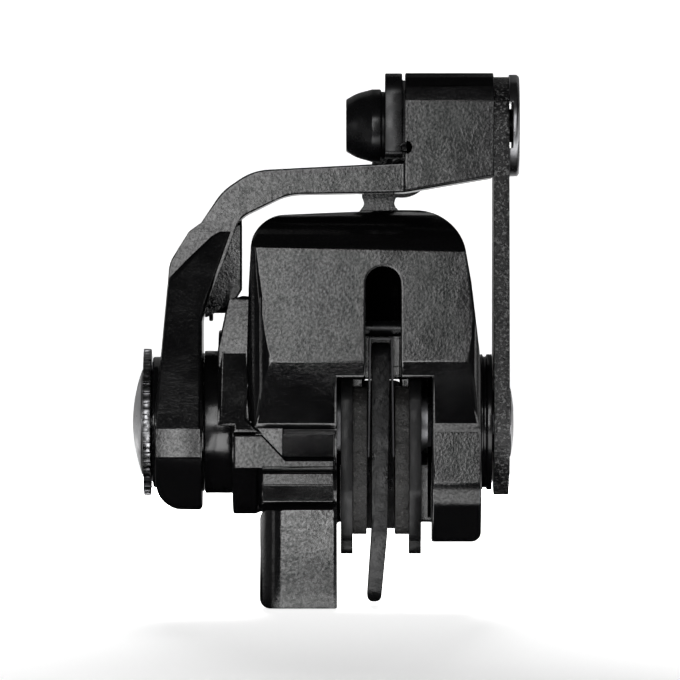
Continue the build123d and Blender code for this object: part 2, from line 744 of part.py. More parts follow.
def caliper_body():
    body = body_block() + housing() + ear() + cable_stop()
    front_foot = foot()
    body += front_foot
    body += mirror(front_foot, about=Plane.XZ)
    body -= cavity()
    body += abutments()
    body -= chamber("outboard")
    body -= chamber("inboard")
    shoulder = BACK_OUT - shoulder_reach()
    body -= disc(BUSH_R, FLANGE_LEFT - CUT_OVER, shoulder + CUT_OVER)
    body -= ring(CUP_R - CUP_WALL, BUSH_R - SEAT_PLAY, FLANGE_LEFT - CUT_OVER, FLANGE_LEFT + SPRING_RECESS)
    body -= disc(CUP_R - CUP_WALL, FLANGE_LEFT - CUT_OVER, FLANGE_LEFT + SPRING_RECESS)
    body -= coil_holes()[1]
    body -= disc(CAP_SPIGOT_R, CAP_LEFT, BODY_RIGHT + CUT_OVER)
    body -= disc(PIN_R + SEAT_PLAY, BODY_LEFT - CUT_OVER, CAVITY_RIGHT + PIN_DEPTH_IN, 0, PIN_Z)
    counterbore = PIN_HEAD_R + RUN_PLAY
    body -= disc(counterbore, BODY_LEFT - CUT_OVER, BODY_LEFT + PIN_HEAD_LENGTH, 0, PIN_Z)
    for side in (-1, 1):
        hole = Cylinder(FOOT_HOLE_R, FOOT_HOLE_DEPTH, align=(Align.CENTER, Align.CENTER, Align.MIN))
        body -= Pos(0, side * FOOT_SPACING / 2, 0) * hole
    body -= rod_y(STOP_HOLE_R, STOP_FRONT_Y - CUT_OVER, STOP_FRONT_Y + STOP_LENGTH + CUT_OVER, STOP_X, STOP_Z)
    return body


def inboard_end_cap():
    """The grooved cap that closes the inboard chamber and takes its thrust."""
    start = BACK_IN + shoulder_reach()
    cap = disc(CAP_R, BODY_RIGHT, CAP_RIGHT) + disc(CAP_SPIGOT_R, CAP_LEFT, BODY_RIGHT)
    cap -= disc(CHAMBER_R, CAP_LEFT - CUT_OVER, start)
    cap -= disc(SPINDLE_R + RUN_PLAY, start - CUT_OVER, CAP_RIGHT + CUT_OVER)
    groove_x = (BODY_RIGHT + CAP_RIGHT) / 2
    return cap - ring(CAP_R + CUT_OVER, CAP_R - CAP_GROOVE, groove_x - CAP_GROOVE_WIDTH, groove_x)


def plate_outline():
    """The backing plate seen from the side, with its finger tab and its ear."""
    top = CAVITY_TOP_Z - PLATE_TOP_CLEAR
    ear_top = EAR_POCKET_TOP_Z - PAD_EAR_CLEAR
    wide = PLATE_HALF_WIDTH
    right = [
        (PLATE_TAB_HALF, PLATE_TAB_Z, PAD_ROUND / 2),
        (PLATE_TAB_HALF, PLATE_LOW_Z, 0),
        (wide * 0.6, PLATE_LOW_Z, PAD_ROUND),
        (wide, PLATE_LOW_Z + wide * 0.55, PAD_ROUND),
        (wide, top - wide * 0.2, PAD_ROUND),
        (wide * 0.8, top, PAD_ROUND / 2),
        (PAD_EAR_HALF, top, 0),
        (PAD_EAR_HALF, ear_top, PAD_ROUND / 2),
    ]
    left = [(-y, z, radius) for y, z, radius in reversed(right)]
    return right + left


def pad_plate(x_from):
    plate = side_prism(plate_outline(), x_from, x_from + PLATE_THICK)
    return plate - disc(PIN_R + 2 * RUN_PLAY, x_from - CUT_OVER, x_from + PLATE_THICK + CUT_OVER, 0, PIN_Z)


def pad_friction(x_from):
    """The friction block, with bevelled ends and one groove down its middle."""
    wide = PLATE_HALF_WIDTH - FRICTION_INSET
    top = CAVITY_TOP_Z - PLATE_TOP_CLEAR - FRICTION_INSET
    right = [
        (wide * 0.6, FRICTION_LOW_Z, PAD_ROUND),
        (wide, FRICTION_LOW_Z + wide * 0.6, PAD_ROUND),
        (wide, top - wide * 0.2, PAD_ROUND),
        (wide * 0.8, top, PAD_ROUND / 2),
    ]
    left = [(-y, z, radius) for y, z, radius in reversed(right)]
    return side_prism(right + left, x_from, x_from + FRICTION_THICK)


def pad_spring():
    """The bent strip that spreads the pads, a bridge under the pin with a leg at each corner."""
    top = PIN_Z - PIN_R - SPRING_STRIP_GAP
    under = top - SPRING_STRIP
    reach = SPRING_LEG_Y + SPRING_LEG_WIDTH
    bridge = block(ROTOR_X - SPRING_HALF_WIDTH, ROTOR_X + SPRING_HALF_WIDTH, -reach, reach, under, top)
    spring = bridge
    foot_in = SPRING_HALF_WIDTH + SPRING_FOOT_SPREAD
    corners = [
        (SPRING_HALF_WIDTH - SPRING_STRIP, top, 0),
        (foot_in - SPRING_STRIP, SPRING_LOW_Z, 0),
        (foot_in, SPRING_LOW_Z, 0),
        (SPRING_HALF_WIDTH, top, 0),
    ]
    for side in (-1, 1):
        legs = [(ROTOR_X + side * across, up, radius) for across, up, radius in corners]
        spring += front_prism(legs, -reach, -SPRING_LEG_Y)
        spring += front_prism(legs, SPRING_LEG_Y, reach)
    return spring


def pad_spacer():
    """The tapered transport blade between the pads."""
    stations = [
        (SPACER_TOP_Z, 0, SPACER_TOP_THICK),
        (SPACER_MID_Z, SPACER_MID_SHIFT, SPACER_MID_THICK),
        (SPACER_TIP_Z, SPACER_TIP_SHIFT, SPACER_TIP_THICK),
    ]
    tip_r = SPACER_TIP_THICK * 0.45
    left = [(ROTOR_X + shift - thick / 2, z) for z, shift, thick in stations]
    right = [(ROTOR_X + shift + thick / 2, z) for z, shift, thick in stations]
    rounds = [tip_r / 2, SPACER_BEND_R, tip_r]
    corners = [(x, z, radius) for (x, z), radius in zip(left, rounds)]
    corners += [(x, z, radius) for (x, z), radius in zip(reversed(right), reversed(rounds))]
    side = [
        (-SPACER_HALF_WIDTH, SPACER_TOP_Z, PAD_ROUND),
        (-SPACER_HALF_WIDTH, SPACER_MID_Z, PAD_ROUND),
        (-SPACER_TIP_HALF, SPACER_TIP_Z, PAD_ROUND),
        (SPACER_TIP_HALF, SPACER_TIP_Z, PAD_ROUND),
        (SPACER_HALF_WIDTH, SPACER_MID_Z, PAD_ROUND),
        (SPACER_HALF_WIDTH, SPACER_TOP_Z, PAD_ROUND),
    ]
    blade = front_prism(corners, -SPACER_HALF_WIDTH, SPACER_HALF_WIDTH)
    blade &= side_prism(side, ROTOR_X - PAD_GAP, ROTOR_X + PAD_GAP)
    return blade + spacer_flange()


def spacer_flange():
    """The web and flange behind the pads that stop the spacer from sliding forwards."""
    near = PLATE_HALF_WIDTH + ABUTMENT_PLAY + ABUTMENT_DEPTH + CLEARANCE
    far = near + SPACER_FLANGE_THICK
    half = SPACER_WEB / 2
    low = SPACER_FLANGE_LOW_Z
    top = SPACER_FLANGE_TOP_Z
    web = block(ROTOR_X - half, ROTOR_X + half, SPACER_TIP_HALF - CUT_OVER, far, low, top)
    corners = [(ROTOR_X + across, up, SPACER_WEB) for across, up in (
        (-SPACER_FLANGE_HALF, low), (SPACER_FLANGE_HALF, low), (SPACER_FLANGE_HALF, top), (-SPACER_FLANGE_HALF, top))]
    return web + front_prism(corners, near, far)


def arm_front():
    """The arm's front outline: the straight lower arm, the shoulder, the bend and the bridge."""
    left = ARM_LEFT
    span = BLOCK_LEFT - ARM_LEFT
    rise = ARM_TOP_Z - AXIS_Z
    low = AXIS_Z - ARM_HUB_R
    return [
        (left + 0.004 * span, low, ARM_TOE_R),
        (left, AXIS_Z, 0),
        (left + 0.058 * span, AXIS_Z + 0.615 * rise, ARM_TOE_R),
        (left + 0.135 * span, AXIS_Z + 0.735 * rise, ARM_TOE_R / 3),
        (left + 0.185 * span, AXIS_Z + 0.77 * rise, 0),
        (left + 0.268 * span, AXIS_Z + 0.89 * rise, 2 * ARM_TOE_R),
        (left + 0.39 * span, ARM_TOP_Z - 0.03 * rise, 2 * ARM_TOE_R),
        (BLOCK_LEFT, ARM_TOP_Z, 0),
        (BLOCK_RIGHT, ARM_TOP_Z, 0),
        (BLOCK_RIGHT, ARM_UNDER_Z + BLOCK_SLOPE_SHARE * rise, 0),
        (BLOCK_LEFT, ARM_UNDER_Z, 0),
        (left + 0.53 * span, ARM_UNDER_Z - 0.008 * rise, 2 * ARM_TOE_R),
        (left + 0.335 * span, ARM_UNDER_Z - 0.1 * rise, ARM_TOE_R),
        (ARM_FACE, AXIS_Z + 0.4 * rise, ARM_TOE_R),
        (ARM_FACE, low, FOOT_EDGE),
    ]


def arm_side():
    """The arm's side outline: a round hub that tapers to the bridge and the round block."""
    hub = outline_circle(ARM_HUB_R, 0, AXIS_Z)
    waist_z = AXIS_Z + ARM_HUB_R * 0.6
    high_z = AXIS_Z + (ARM_TOP_Z - AXIS_Z) * 0.75
    neck = outline([
        (-ARM_HALF_LOW - ARM_EDGE, waist_z, 0),
        (-ARM_HALF_HIGH, high_z, ARM_HUB_R),
        (-ARM_HALF_HIGH, ARM_TOP_Z + CUT_OVER, 0),
        (ARM_HALF_HIGH, ARM_TOP_Z + CUT_OVER, 0),
        (ARM_HALF_HIGH, high_z, ARM_HUB_R),
        (ARM_HALF_LOW + ARM_EDGE, waist_z, 0),
    ])
    return hub + neck


def outline_circle(radius, across, up):
    return Pos(across, up) * Circle(radius)


def arm_block():
    """The block that the cable is clamped on, with rounded upper edges."""
    slope = ARM_UNDER_Z + (ARM_TOP_Z - AXIS_Z) * BLOCK_SLOPE_SHARE
    head = side_prism([
        (-BLOCK_HALF_DEPTH, ARM_UNDER_Z, 0),
        (-BLOCK_HALF_DEPTH, BOLT_Z + BLOCK_R, BLOCK_ROUND),
        (BLOCK_HALF_DEPTH, BOLT_Z + BLOCK_R, BLOCK_ROUND),
        (BLOCK_HALF_DEPTH, ARM_UNDER_Z, 0),
    ], BLOCK_LEFT, BLOCK_RIGHT)
    under = front_prism([
        (BLOCK_LEFT - CUT_OVER, ARM_UNDER_Z, 0),
        (BLOCK_LEFT, ARM_UNDER_Z, 0),
        (BLOCK_RIGHT, slope, 0),
        (BLOCK_RIGHT + CUT_OVER, slope, 0),
        (BLOCK_RIGHT + CUT_OVER, BOLT_Z - 2 * BLOCK_R, 0),
        (BLOCK_LEFT - CUT_OVER, BOLT_Z - 2 * BLOCK_R, 0),
    ], -2 * BLOCK_R, 2 * BLOCK_R)
    return head - under


def arm_web():
    """The web in the arm's inner corner, with the small nub under it."""
    rise = ARM_TOP_Z - AXIS_Z
    low = AXIS_Z + 0.421 * rise
    right = ARM_FACE + 0.15 * rise
    back = WEB_FRONT_Y + WEB_THICK
    corners = [
        (ARM_FACE - CUT_OVER, low, 0),
        (ARM_FACE + 0.095 * rise, low, 0),
        (right, low + 0.09 * rise, 0),
        (right, ARM_UNDER_Z - 0.06 * rise, 0),
        (ARM_FACE - CUT_OVER, AXIS_Z + 0.52 * rise, 0),
    ]
    web = front_prism(corners, WEB_FRONT_Y, back)
    nub_left = ARM_FACE + NUB_WIDTH * 1.5
    return web + block(nub_left, nub_left + NUB_WIDTH, WEB_FRONT_Y, back, low - NUB_HEIGHT, low + NUB_HEIGHT)


def actuating_arm():
    width = BLOCK_RIGHT - ARM_LEFT + 2 * CUT_OVER
    side = extrude(Plane.YZ.offset(ARM_LEFT - CUT_OVER) * arm_side(), width)
    arm = front_prism(arm_front(), -ARM_HUB_R - CUT_OVER, ARM_HUB_R + CUT_OVER) & side
    arm += arm_block() + arm_web()
    arm -= hexagon(SPINDLE_FLATS + 2 * SEAT_PLAY, ARM_LEFT - CUT_OVER, ARM_FACE + CUT_OVER)
    arm -= disc(NUT_R + NUT_PLAY, ARM_LEFT - CUT_OVER, ARM_LEFT + NUT_DEPTH)
    arm -= disc(BOLT_R + BOLT_HOLE_PLAY, BLOCK_LEFT - CUT_OVER, BLOCK_RIGHT + CUT_OVER, 0, BOLT_Z)
    arm -= coil_holes()[0]
    groove_z = BOLT_Z - CABLE_DROP
    return arm - rod_y(CABLE_GROOVE_R, -BLOCK_R - CUT_OVER, BLOCK_R + CUT_OVER, BLOCK_LEFT, groove_z)


def arm_nut():
    """The slotted ring nut in the arm's counterbore."""
    nut = ring(NUT_R, SPINDLE_THREAD_R + SEAT_PLAY, ARM_LEFT + NUT_PLAY / 2, ARM_LEFT + NUT_DEPTH)
    half = NUT_NOTCH / 2
    reach = NUT_R + CUT_OVER
    for start in (-reach, NUT_R - NUT_NOTCH):
        nut -= block(ARM_LEFT - CUT_OVER, ARM_LEFT + NUT_DEPTH / 2, start, start + NUT_NOTCH + CUT_OVER,
                     AXIS_Z - half, AXIS_Z + half)
    return nut


def dial_outline():
    """The rim of the dial, with square notches."""
    step = 2 * pi / DIAL_TEETH
    low = DIAL_R - DIAL_TOOTH_DEPTH
    half = step * DIAL_TOOTH_SHARE / 2
    points = []
    for tooth in range(DIAL_TEETH):
        centre = tooth * step
        for angle, radius in ((-half, low), (-half, DIAL_R), (half, DIAL_R), (half, low)):
            points.append((radius * sin(centre + angle), AXIS_Z + radius * cos(centre + angle)))
    return make_face(Polyline(*points, close=True))


def adjuster_dial():
    """The notched dial, recessed on both faces inside its rim."""
    dial = extrude(Plane.YZ.offset(DIAL_LEFT) * dial_outline(), DIAL_RIGHT - DIAL_LEFT)
    ring_r = DIAL_R * DIAL_RING_SHARE
    dial -= ring(ring_r, DOME_R, DIAL_LEFT - CUT_OVER, DIAL_LEFT + DIAL_RECESS)
    dial -= disc(ring_r, DIAL_RIGHT - DIAL_RECESS, DIAL_RIGHT + CUT_OVER)
    return dial - disc(SHAFT_R, DIAL_LEFT - CUT_OVER, DIAL_RIGHT + CUT_OVER)


def dome(radius, rise, rim, x_base, direction):
    """A shallow dome with a low rim, revolved about the pivot axis."""
    sphere_r = (radius**2 + rise**2) / (2 * rise)
    half = asin(radius / sphere_r)
    middle = rim + sphere_r * (cos(half / 2) - cos(half))
    edge = (direction * rim, radius)
    top = (direction * (rim + rise), 0)
    arc = ThreePointArc(edge, (direction * middle, sphere_r * sin(half / 2)), top)
    edges = [Line((0, 0), (0, radius)), Line((0, radius), edge), arc, Line(top, (0, 0))]
    return Pos(x_base, 0, AXIS_Z) * revolve(make_face(edges), axis=Axis.X)


def dial_cap():
    return dome(DOME_R, DOME_RISE - DOME_RIM, DOME_RIM, DIAL_LEFT, -1)


def pivot_nut():
    """The low domed nut at the foot of the link plate, open in the middle for the hex key."""
    rim = PIVOT_NUT_RISE / 3
    nut = dome(PIVOT_NUT_R, PIVOT_NUT_RISE - rim, rim, LINK_RIGHT, 1)
    nut -= disc(PIVOT_NUT_THREAD_R + SEAT_PLAY, LINK_RIGHT - CUT_OVER, LINK_RIGHT + PIVOT_NUT_RISE / 2)
    return nut - disc(SPINDLE_BORE_R, LINK_RIGHT - CUT_OVER, LINK_RIGHT + 2 * PIVOT_NUT_RISE)


def link_plate():
    """The stamped link, a straight-sided plate between two round ends."""
    low = Pos(0, AXIS_Z) * Circle(LINK_LOW_R)
    high = Pos(0, BOLT_Z) * Circle(LINK_HIGH_R)
    face = make_hull(low.edges() + high.edges())
    plate = extrude(Plane.YZ.offset(LINK_LEFT) * face, LINK_RIGHT - LINK_LEFT)
    plate -= hexagon(SPINDLE_FLATS + 2 * SEAT_PLAY, LINK_LEFT - CUT_OVER, LINK_RIGHT + CUT_OVER)
    return plate - disc(BOLT_R + BOLT_HOLE_PLAY, LINK_LEFT - CUT_OVER, LINK_RIGHT + CUT_OVER, 0, BOLT_Z)


def clamp_bolt():
    """The clamp bolt: tapered head, collar and shank up to the nut."""
    corners = [
        (HEAD_LEFT, 0, 0),
        (HEAD_LEFT, HEAD_FACE_R, HEAD_ROUND),
        (HEAD_MID_X, HEAD_MID_R, HEAD_R),
        (HEAD_WIDE_X, HEAD_R, HEAD_ROUND * 2),
        (HEAD_RIGHT, HEAD_R, 0),
        (HEAD_RIGHT, COLLAR_R - HEAD_ROUND, 0),
        (COLLAR_RIGHT, COLLAR_R - HEAD_ROUND, 0),
        (COLLAR_RIGHT, BOLT_R, 0),
        (YOKE_NUT_RIGHT - YOKE_NUT_RIM, BOLT_R, 0),
        (YOKE_NUT_RIGHT - YOKE_NUT_RIM, 0, 0),
    ]
    bolt = Pos(0, 0, BOLT_Z) * revolve(outline(corners), axis=Axis.X)
    return bolt - hexagon(HEAD_SOCKET_FLATS, HEAD_LEFT - CUT_OVER, HEAD_LEFT + HEAD_SOCKET_DEPTH, BOLT_Z)


def clamp_plate():
    """The plate that presses the cable on the block, with its raised pad and cable groove."""
    face_x = BLOCK_LEFT - CLAMP_PAD
    corners = [
        (-CLAMP_HALF_WIDTH, CLAMP_LOW_Z, CLAMP_ROUND / 3),
        (CLAMP_HALF_WIDTH, CLAMP_LOW_Z, CLAMP_ROUND / 3),
        (CLAMP_HALF_WIDTH, CLAMP_TOP_Z, CLAMP_ROUND),
        (-CLAMP_HALF_WIDTH, CLAMP_TOP_Z, CLAMP_ROUND),
    ]
    plate = side_prism(corners, COLLAR_RIGHT, face_x)
    inset = CLAMP_HALF_WIDTH - CLAMP_PAD_INSET
    plate += block(face_x, BLOCK_LEFT, -inset, inset, CLAMP_LOW_Z + CLAMP_PAD, CLAMP_TOP_Z - CLAMP_PAD_INSET)
    plate -= disc(BOLT_R + BOLT_HOLE_PLAY, COLLAR_RIGHT - CUT_OVER, BLOCK_LEFT + CUT_OVER, 0, BOLT_Z)
    reach = CLAMP_HALF_WIDTH + CUT_OVER
    return plate - rod_y(CABLE_GROOVE_R, -reach, reach, BLOCK_LEFT, BOLT_Z - CABLE_DROP)


def yoke_nut():
    """The round nut on the clamp bolt, with a slot milled across its inner face."""
    corners = [
        (LINK_RIGHT, 0, 0),
        (LINK_RIGHT, YOKE_NUT_R, YOKE_NUT_RIM / 2),
        (YOKE_NUT_RIGHT - YOKE_NUT_RIM, YOKE_NUT_R, 0),
        (YOKE_NUT_RIGHT, YOKE_NUT_R - YOKE_NUT_RIM, 0),
        (YOKE_NUT_RIGHT, 0, 0),
    ]
    nut = Pos(0, 0, BOLT_Z) * revolve(outline(corners), axis=Axis.X)
    nut -= disc(BOLT_R + SEAT_PLAY, LINK_RIGHT - CUT_OVER, YOKE_NUT_RIGHT - YOKE_NUT_RIM, 0, BOLT_Z)
    reach = YOKE_NUT_R + CUT_OVER
    return nut - block(LINK_RIGHT - CUT_OVER, LINK_RIGHT + NUT_SLOT_DEPTH, -reach, reach,
                       BOLT_Z - NUT_SLOT_HALF, BOLT_Z + NUT_SLOT_HALF)


def barrel_adjuster():
    """The fluted barrel screw that the cable housing seats in."""
    head_y = STOP_FRONT_Y + STOP_LENGTH + 2 * O_RING_WIRE_R + SEAT_PLAY
    end_y = head_y + BARREL_HEAD_LENGTH
    barrel = rod_y(STOP_HOLE_R - RUN_PLAY, STOP_FRONT_Y, head_y, STOP_X, STOP_Z)
    head = rod_y(BARREL_HEAD_R, head_y, end_y, STOP_X, STOP_Z)
    for flute in range(BARREL_FLUTES):
        angle = 2 * pi * flute / BARREL_FLUTES
        x = STOP_X + BARREL_HEAD_R * sin(angle)
        z = STOP_Z + BARREL_HEAD_R * cos(angle)
        head -= rod_y(BARREL_FLUTE_R, head_y + BARREL_FLUTE_R, end_y + CUT_OVER, x, z)
    barrel += head
    barrel -= rod_y(BARREL_BORE_R, end_y - BARREL_BORE_DEPTH, end_y + CUT_OVER, STOP_X, STOP_Z)
    return barrel - rod_y(CABLE_HOLE_R, STOP_FRONT_Y - CUT_OVER, end_y, STOP_X, STOP_Z)


def barrel_o_ring():
    seat_y = STOP_FRONT_Y + STOP_LENGTH + O_RING_WIRE_R
    shape = Torus(O_RING_R + O_RING_WIRE_R / 2, O_RING_WIRE_R)
    return Pos(STOP_X, seat_y + SEAT_PLAY / 2, STOP_Z) * Rot(90, 0, 0) * shape


PIECES = {
    "caliper_body": caliper_body,
    "outboard_bush": outboard_bush,
    "spring_housing": spring_housing,
    "return_spring": return_spring,
    "outboard_thrust_washer": lambda: thrust_washer("outboard"),
    "inboard_thrust_washer": lambda: thrust_washer("inboard"),
    "inboard_end_cap": inboard_end_cap,
    "outboard_balls": lambda: balls("outboard"),
    "inboard_balls": lambda: balls("inboard"),
    "outboard_ball_cage": lambda: ball_cage("outboard"),
    "inboard_ball_cage": lambda: ball_cage("inboard"),
    "outboard_pusher": lambda: pusher("outboard"),
    "inboard_pusher": lambda: pusher("inboard"),
    "outboard_piston": lambda: piston("outboard"),
    "inboard_piston": lambda: piston("inboard"),
    "outboard_spindle": outboard_spindle,
    "inboard_spindle": inboard_spindle,
    "adjuster_shaft": adjuster_shaft,
    "inboard_adjuster": inboard_adjuster,
    "adjuster_dial": adjuster_dial,
    "dial_cap": dial_cap,
    "actuating_arm": actuating_arm,
    "arm_nut": arm_nut,
    "link_plate": link_plate,
    "pivot_nut": pivot_nut,
    "clamp_bolt": clamp_bolt,
    "clamp_plate": clamp_plate,
    "yoke_nut": yoke_nut,
    "outboard_pad_plate": lambda: pad_plate(BACK_OUT),
    "inboard_pad_plate": lambda: pad_plate(PLATE_FACE_IN),
    "outboard_pad_friction": lambda: pad_friction(PLATE_FACE_OUT),
    "inboard_pad_friction": lambda: pad_friction(PAD_FACE_IN),
    "pad_pin": pad_pin,
    "pad_spring": pad_spring,
    "pad_spacer": pad_spacer,
    "barrel_adjuster": barrel_adjuster,
    "barrel_o_ring": barrel_o_ring,
}

os.makedirs("parts", exist_ok=True)
for name, make in PIECES.items():
    export_step(make(), f"parts/{name}.step")
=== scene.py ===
import json
from math import cos, pi, radians, sin

import bpy
import bmesh
from bpy.props import FloatProperty, FloatVectorProperty, PointerProperty
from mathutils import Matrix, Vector


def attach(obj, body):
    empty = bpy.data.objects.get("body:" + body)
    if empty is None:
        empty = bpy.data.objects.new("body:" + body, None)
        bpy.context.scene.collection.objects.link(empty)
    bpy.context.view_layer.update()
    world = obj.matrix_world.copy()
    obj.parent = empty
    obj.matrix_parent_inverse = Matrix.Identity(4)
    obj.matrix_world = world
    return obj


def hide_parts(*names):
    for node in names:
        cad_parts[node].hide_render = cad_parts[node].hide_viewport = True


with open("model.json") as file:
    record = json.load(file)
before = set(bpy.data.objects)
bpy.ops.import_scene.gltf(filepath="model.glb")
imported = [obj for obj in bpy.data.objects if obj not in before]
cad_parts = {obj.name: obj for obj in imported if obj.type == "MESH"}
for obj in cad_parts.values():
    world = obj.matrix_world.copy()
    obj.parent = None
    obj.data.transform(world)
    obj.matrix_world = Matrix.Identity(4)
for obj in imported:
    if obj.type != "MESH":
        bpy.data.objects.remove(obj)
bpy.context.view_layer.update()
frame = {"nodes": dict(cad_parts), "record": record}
BODIES = frame["record"]["behaviour"]["bodies"]
BODY_OF = {node: body for body, nodes in BODIES.items() for node in nodes}
SLOT_OF = {row["node"]: row["material_slot"] for row in frame["record"]["subparts"]}
MM = 0.001
PIVOT_UP = 27.3

# The forgings' details, in mm. An outline holds X and Z, as seen from the front, and a side Y and Z.
ARM_FRONT_OUTLINE = (
    (-21.38, 22.05), (-21.38, 26.40), (-21.00, 32.10), (-20.58, 36.60), (-20.16, 41.10), (-19.74, 45.60),
    (-19.50, 48.45), (-16.80, 51.30), (-12.90, 55.20), (-9.90, 57.00), (-13.50, 46.80), (-14.70, 41.70),
    (-14.70, 22.05),
)
ARM_FRONT_SIDE = ((-6.7, 55.8), (-14.2, 26.4), (-12.6, 22.0), (-5.0, 22.0), (-5.0, 55.8))
BOSS_SIDE = ((-15.0, 25.7), (-14.7, 22.3), (-11.0, 22.3), (-11.0, 25.7))
LEDGE_OUTLINE = (
    (-9.81, 25.50), (-5.53, 25.50), (-2.10, 21.90), (5.25, 21.90), (5.25, 20.64), (-9.81, 20.64),
)
LEDGE_SIDE = ((-15.35, 25.6), (-15.75, 20.6), (-11.0, 20.6), (-11.0, 25.6))
# A dark bar behind the slot, set where the slot shows only shade, to hide bright parts behind it.
SHADE_BAR_OUTLINE = ((9.3, 33.65), (15.6, 33.65), (15.6, 35.6), (9.3, 35.6))
BLOCK_TOP_OUTLINE = ((15.82, 78.45), (28.95, 78.45), (28.95, 75.30), (15.82, 75.30))
BLOCK_TOP_SIDE = ((-7.68, 75.3), (-7.2, 77.4), (-3.0, 77.4), (-3.0, 75.3))
WEB_OUTLINE = (
    (-14.25, 56.85), (-8.85, 56.85), (-8.85, 47.25), (-9.9, 45.45), (-13.05, 43.5), (-14.25, 42.9),
)
WEB_SIDE = ((-1.1, 57.0), (0.35, 43.0), (2.0, 43.0), (2.0, 57.0))
DIAL_RING_RADII, DIAL_RING_ACROSS = (9.8, 7.0), (-22.04, -20.5)
CUP_RING_RADII, CUP_RING_ACROSS = (10.4, 9.0), (-15.5, -14.32)
EAR_OUTLINE = (
    (-11.62, 38.48), (-7.20, 38.48), (-8.03, 28.12), (-5.50, 25.47), (-9.90, 25.47), (-9.90, 26.85),
    (-11.92, 26.85),
)
EAR_SIDE = ((-12.2, 38.5), (-15.5, 25.9), (-13.4, 25.4), (-9.0, 25.4), (-9.0, 38.5))
STRIPE_SIDE = (
    (-21.92, 20.1), (-22.0, 18.3), (-21.7, 18.2), (-21.54, 15.5), (-18.0, 15.5), (-18.0, 20.1),
)
FACET_OUTLINE = ((-7.65, 27.68), (-2.55, 27.07), (-2.55, 21.75), (-5.7, 23.85))
BOSS_ACROSS = (-2.6, 5.2)
STRIPE_ACROSS = (-5.4, 5.0)
FACET_DEPTH = (-14.6, -12.0)
SHADE_BAR_DEPTH = (13.6, 15.0)
SLOPED_DEPTH = (-16.0, 3.0)
SLOPED_ACROSS = (-25.0, 32.0)
CIRCLE_POINTS = 64

# Edges that turn by more than this get a round, above the plain lower end of the foot, in metres.
SHARP_TURN = radians(32)
SMOOTH_TURN = radians(38)
FLAT_TURN = radians(0.6)
WELD_GAP = 0.000004
ROOM_SHARE = 0.35
FOOT_END = 0.004
LARGE_FACE = 0.00004
RIM_SHARE = 0.6
DIAL_SHARE, BARREL_SHARE, LEAF_SHARE = 0.7, 0.6, 0.4

# The lamps: name, place, width, height, level and whether they are mirrored.
LAMPS = (
    ("front_left", (-0.197, -1.6, 0.135), 0.42, 0.53, 5.0, True),
    ("front_low", (-0.197, -1.59, -0.01), 0.42, 0.08, 4.5, True),
    ("front_right", (0.215, -1.6, 0.135), 0.4, 0.53, 0.3, True),
    ("upper_box", (0.0, -1.5, 0.55), 0.6, 0.30, 4.4, True),
    ("left_strip", (-0.79, -0.62, 0.05), 0.22, 0.35, 1.5, True),
    ("right_strip", (0.75, -0.15, 0.1), 0.12, 0.4, 2.0, True),
    ("back_box", (0.0, 1.2, 0.30), 0.22, 0.16, 480, False),
)
SKY_LEVEL = 0.012
SWEEP_SIZE = (8, 2.4, 1)
SWEEP_PLACE = (0, 0.8, -0.0002)
WALL_HEIGHT = 4
SENSOR_WIDTH = 36

bl_info = {
    "name": "Disc brake caliper",
    "version": (1, 0, 0),
    "blender": (4, 5, 0),
    "location": "View3D > Sidebar > Caliper",
    "description": "Dresses a cable-pulled disc brake caliper: forgings, fasteners, pads and stage",
    "category": "Object",
}


class CaliperSizes(bpy.types.PropertyGroup):
    """Sizes of the softened edges and of the surface grain."""
    forged_edge: FloatProperty(name="Forged edge", description="Width of a forging's soft edge",
                               default=0.00035, unit="LENGTH", precision=6)
    machined_edge: FloatProperty(name="Machined edge", description="Width of a turned part's broken edge",
                                 default=0.00018, unit="LENGTH", precision=6)
    stamped_edge: FloatProperty(name="Stamped edge", description="Width of a stamped part's rolled edge",
                                default=0.00012, unit="LENGTH", precision=6)
    moulded_edge: FloatProperty(name="Moulded edge", description="Width of a moulded part's edge",
                                default=0.0003, unit="LENGTH", precision=6)


class CaliperFinish(bpy.types.PropertyGroup):
    """Colours and gloss of the finishes."""
    paint: FloatVectorProperty(name="Paint", description="Black paint of the forgings", subtype="COLOR",
                               default=(0.0055, 0.0055, 0.006))
    plate_black: FloatVectorProperty(name="Plate black", description="Black coat of stamped steel",
                                     subtype="COLOR", default=(0.008, 0.008, 0.0085))
    oxide: FloatVectorProperty(name="Oxide black", description="Black oxide of the bolt", subtype="COLOR",
                               default=(0.012, 0.012, 0.013))
    bright: FloatVectorProperty(name="Bright steel", description="Plated nuts and the dial's cap",
                                subtype="COLOR", default=(0.30, 0.30, 0.31))
    bronze: FloatVectorProperty(name="Bronze", description="Bearing bushes", subtype="COLOR",
                                default=(0.42, 0.26, 0.11))
    compound: FloatVectorProperty(name="Compound", description="Friction compound", subtype="COLOR",
                                  default=(0.028, 0.027, 0.026))
    plastic: FloatVectorProperty(name="Plastic", description="Spacer plastic", subtype="COLOR",
                                 default=(0.009, 0.009, 0.0095))
    paint_gloss: FloatProperty(name="Paint roughness", description="Roughness of the paint",
                               default=0.11, min=0, max=1)


class CaliperStage(bpy.types.PropertyGroup):
    """Camera and lamp values."""
    view_width: FloatProperty(name="View width", description="Width that the camera sees at the object",
                              default=0.102, unit="LENGTH")
    view_distance: FloatProperty(name="View distance", description="Distance of the camera",
                                 default=1.3, unit="LENGTH")
    view_centre: FloatVectorProperty(name="View centre", description="Point at the middle of the picture",
                                     default=(0.006, 0.0, 0.0396), subtype="XYZ")
    lamp_share: FloatProperty(name="Lamp level", description="Level of all the lamps", default=1.0)


def deselect():
    """Leaves edit mode with nothing selected."""
    if bpy.context.object and bpy.context.object.mode != "OBJECT":
        bpy.ops.object.mode_set(mode="OBJECT")
    bpy.ops.object.select_all(action="DESELECT")


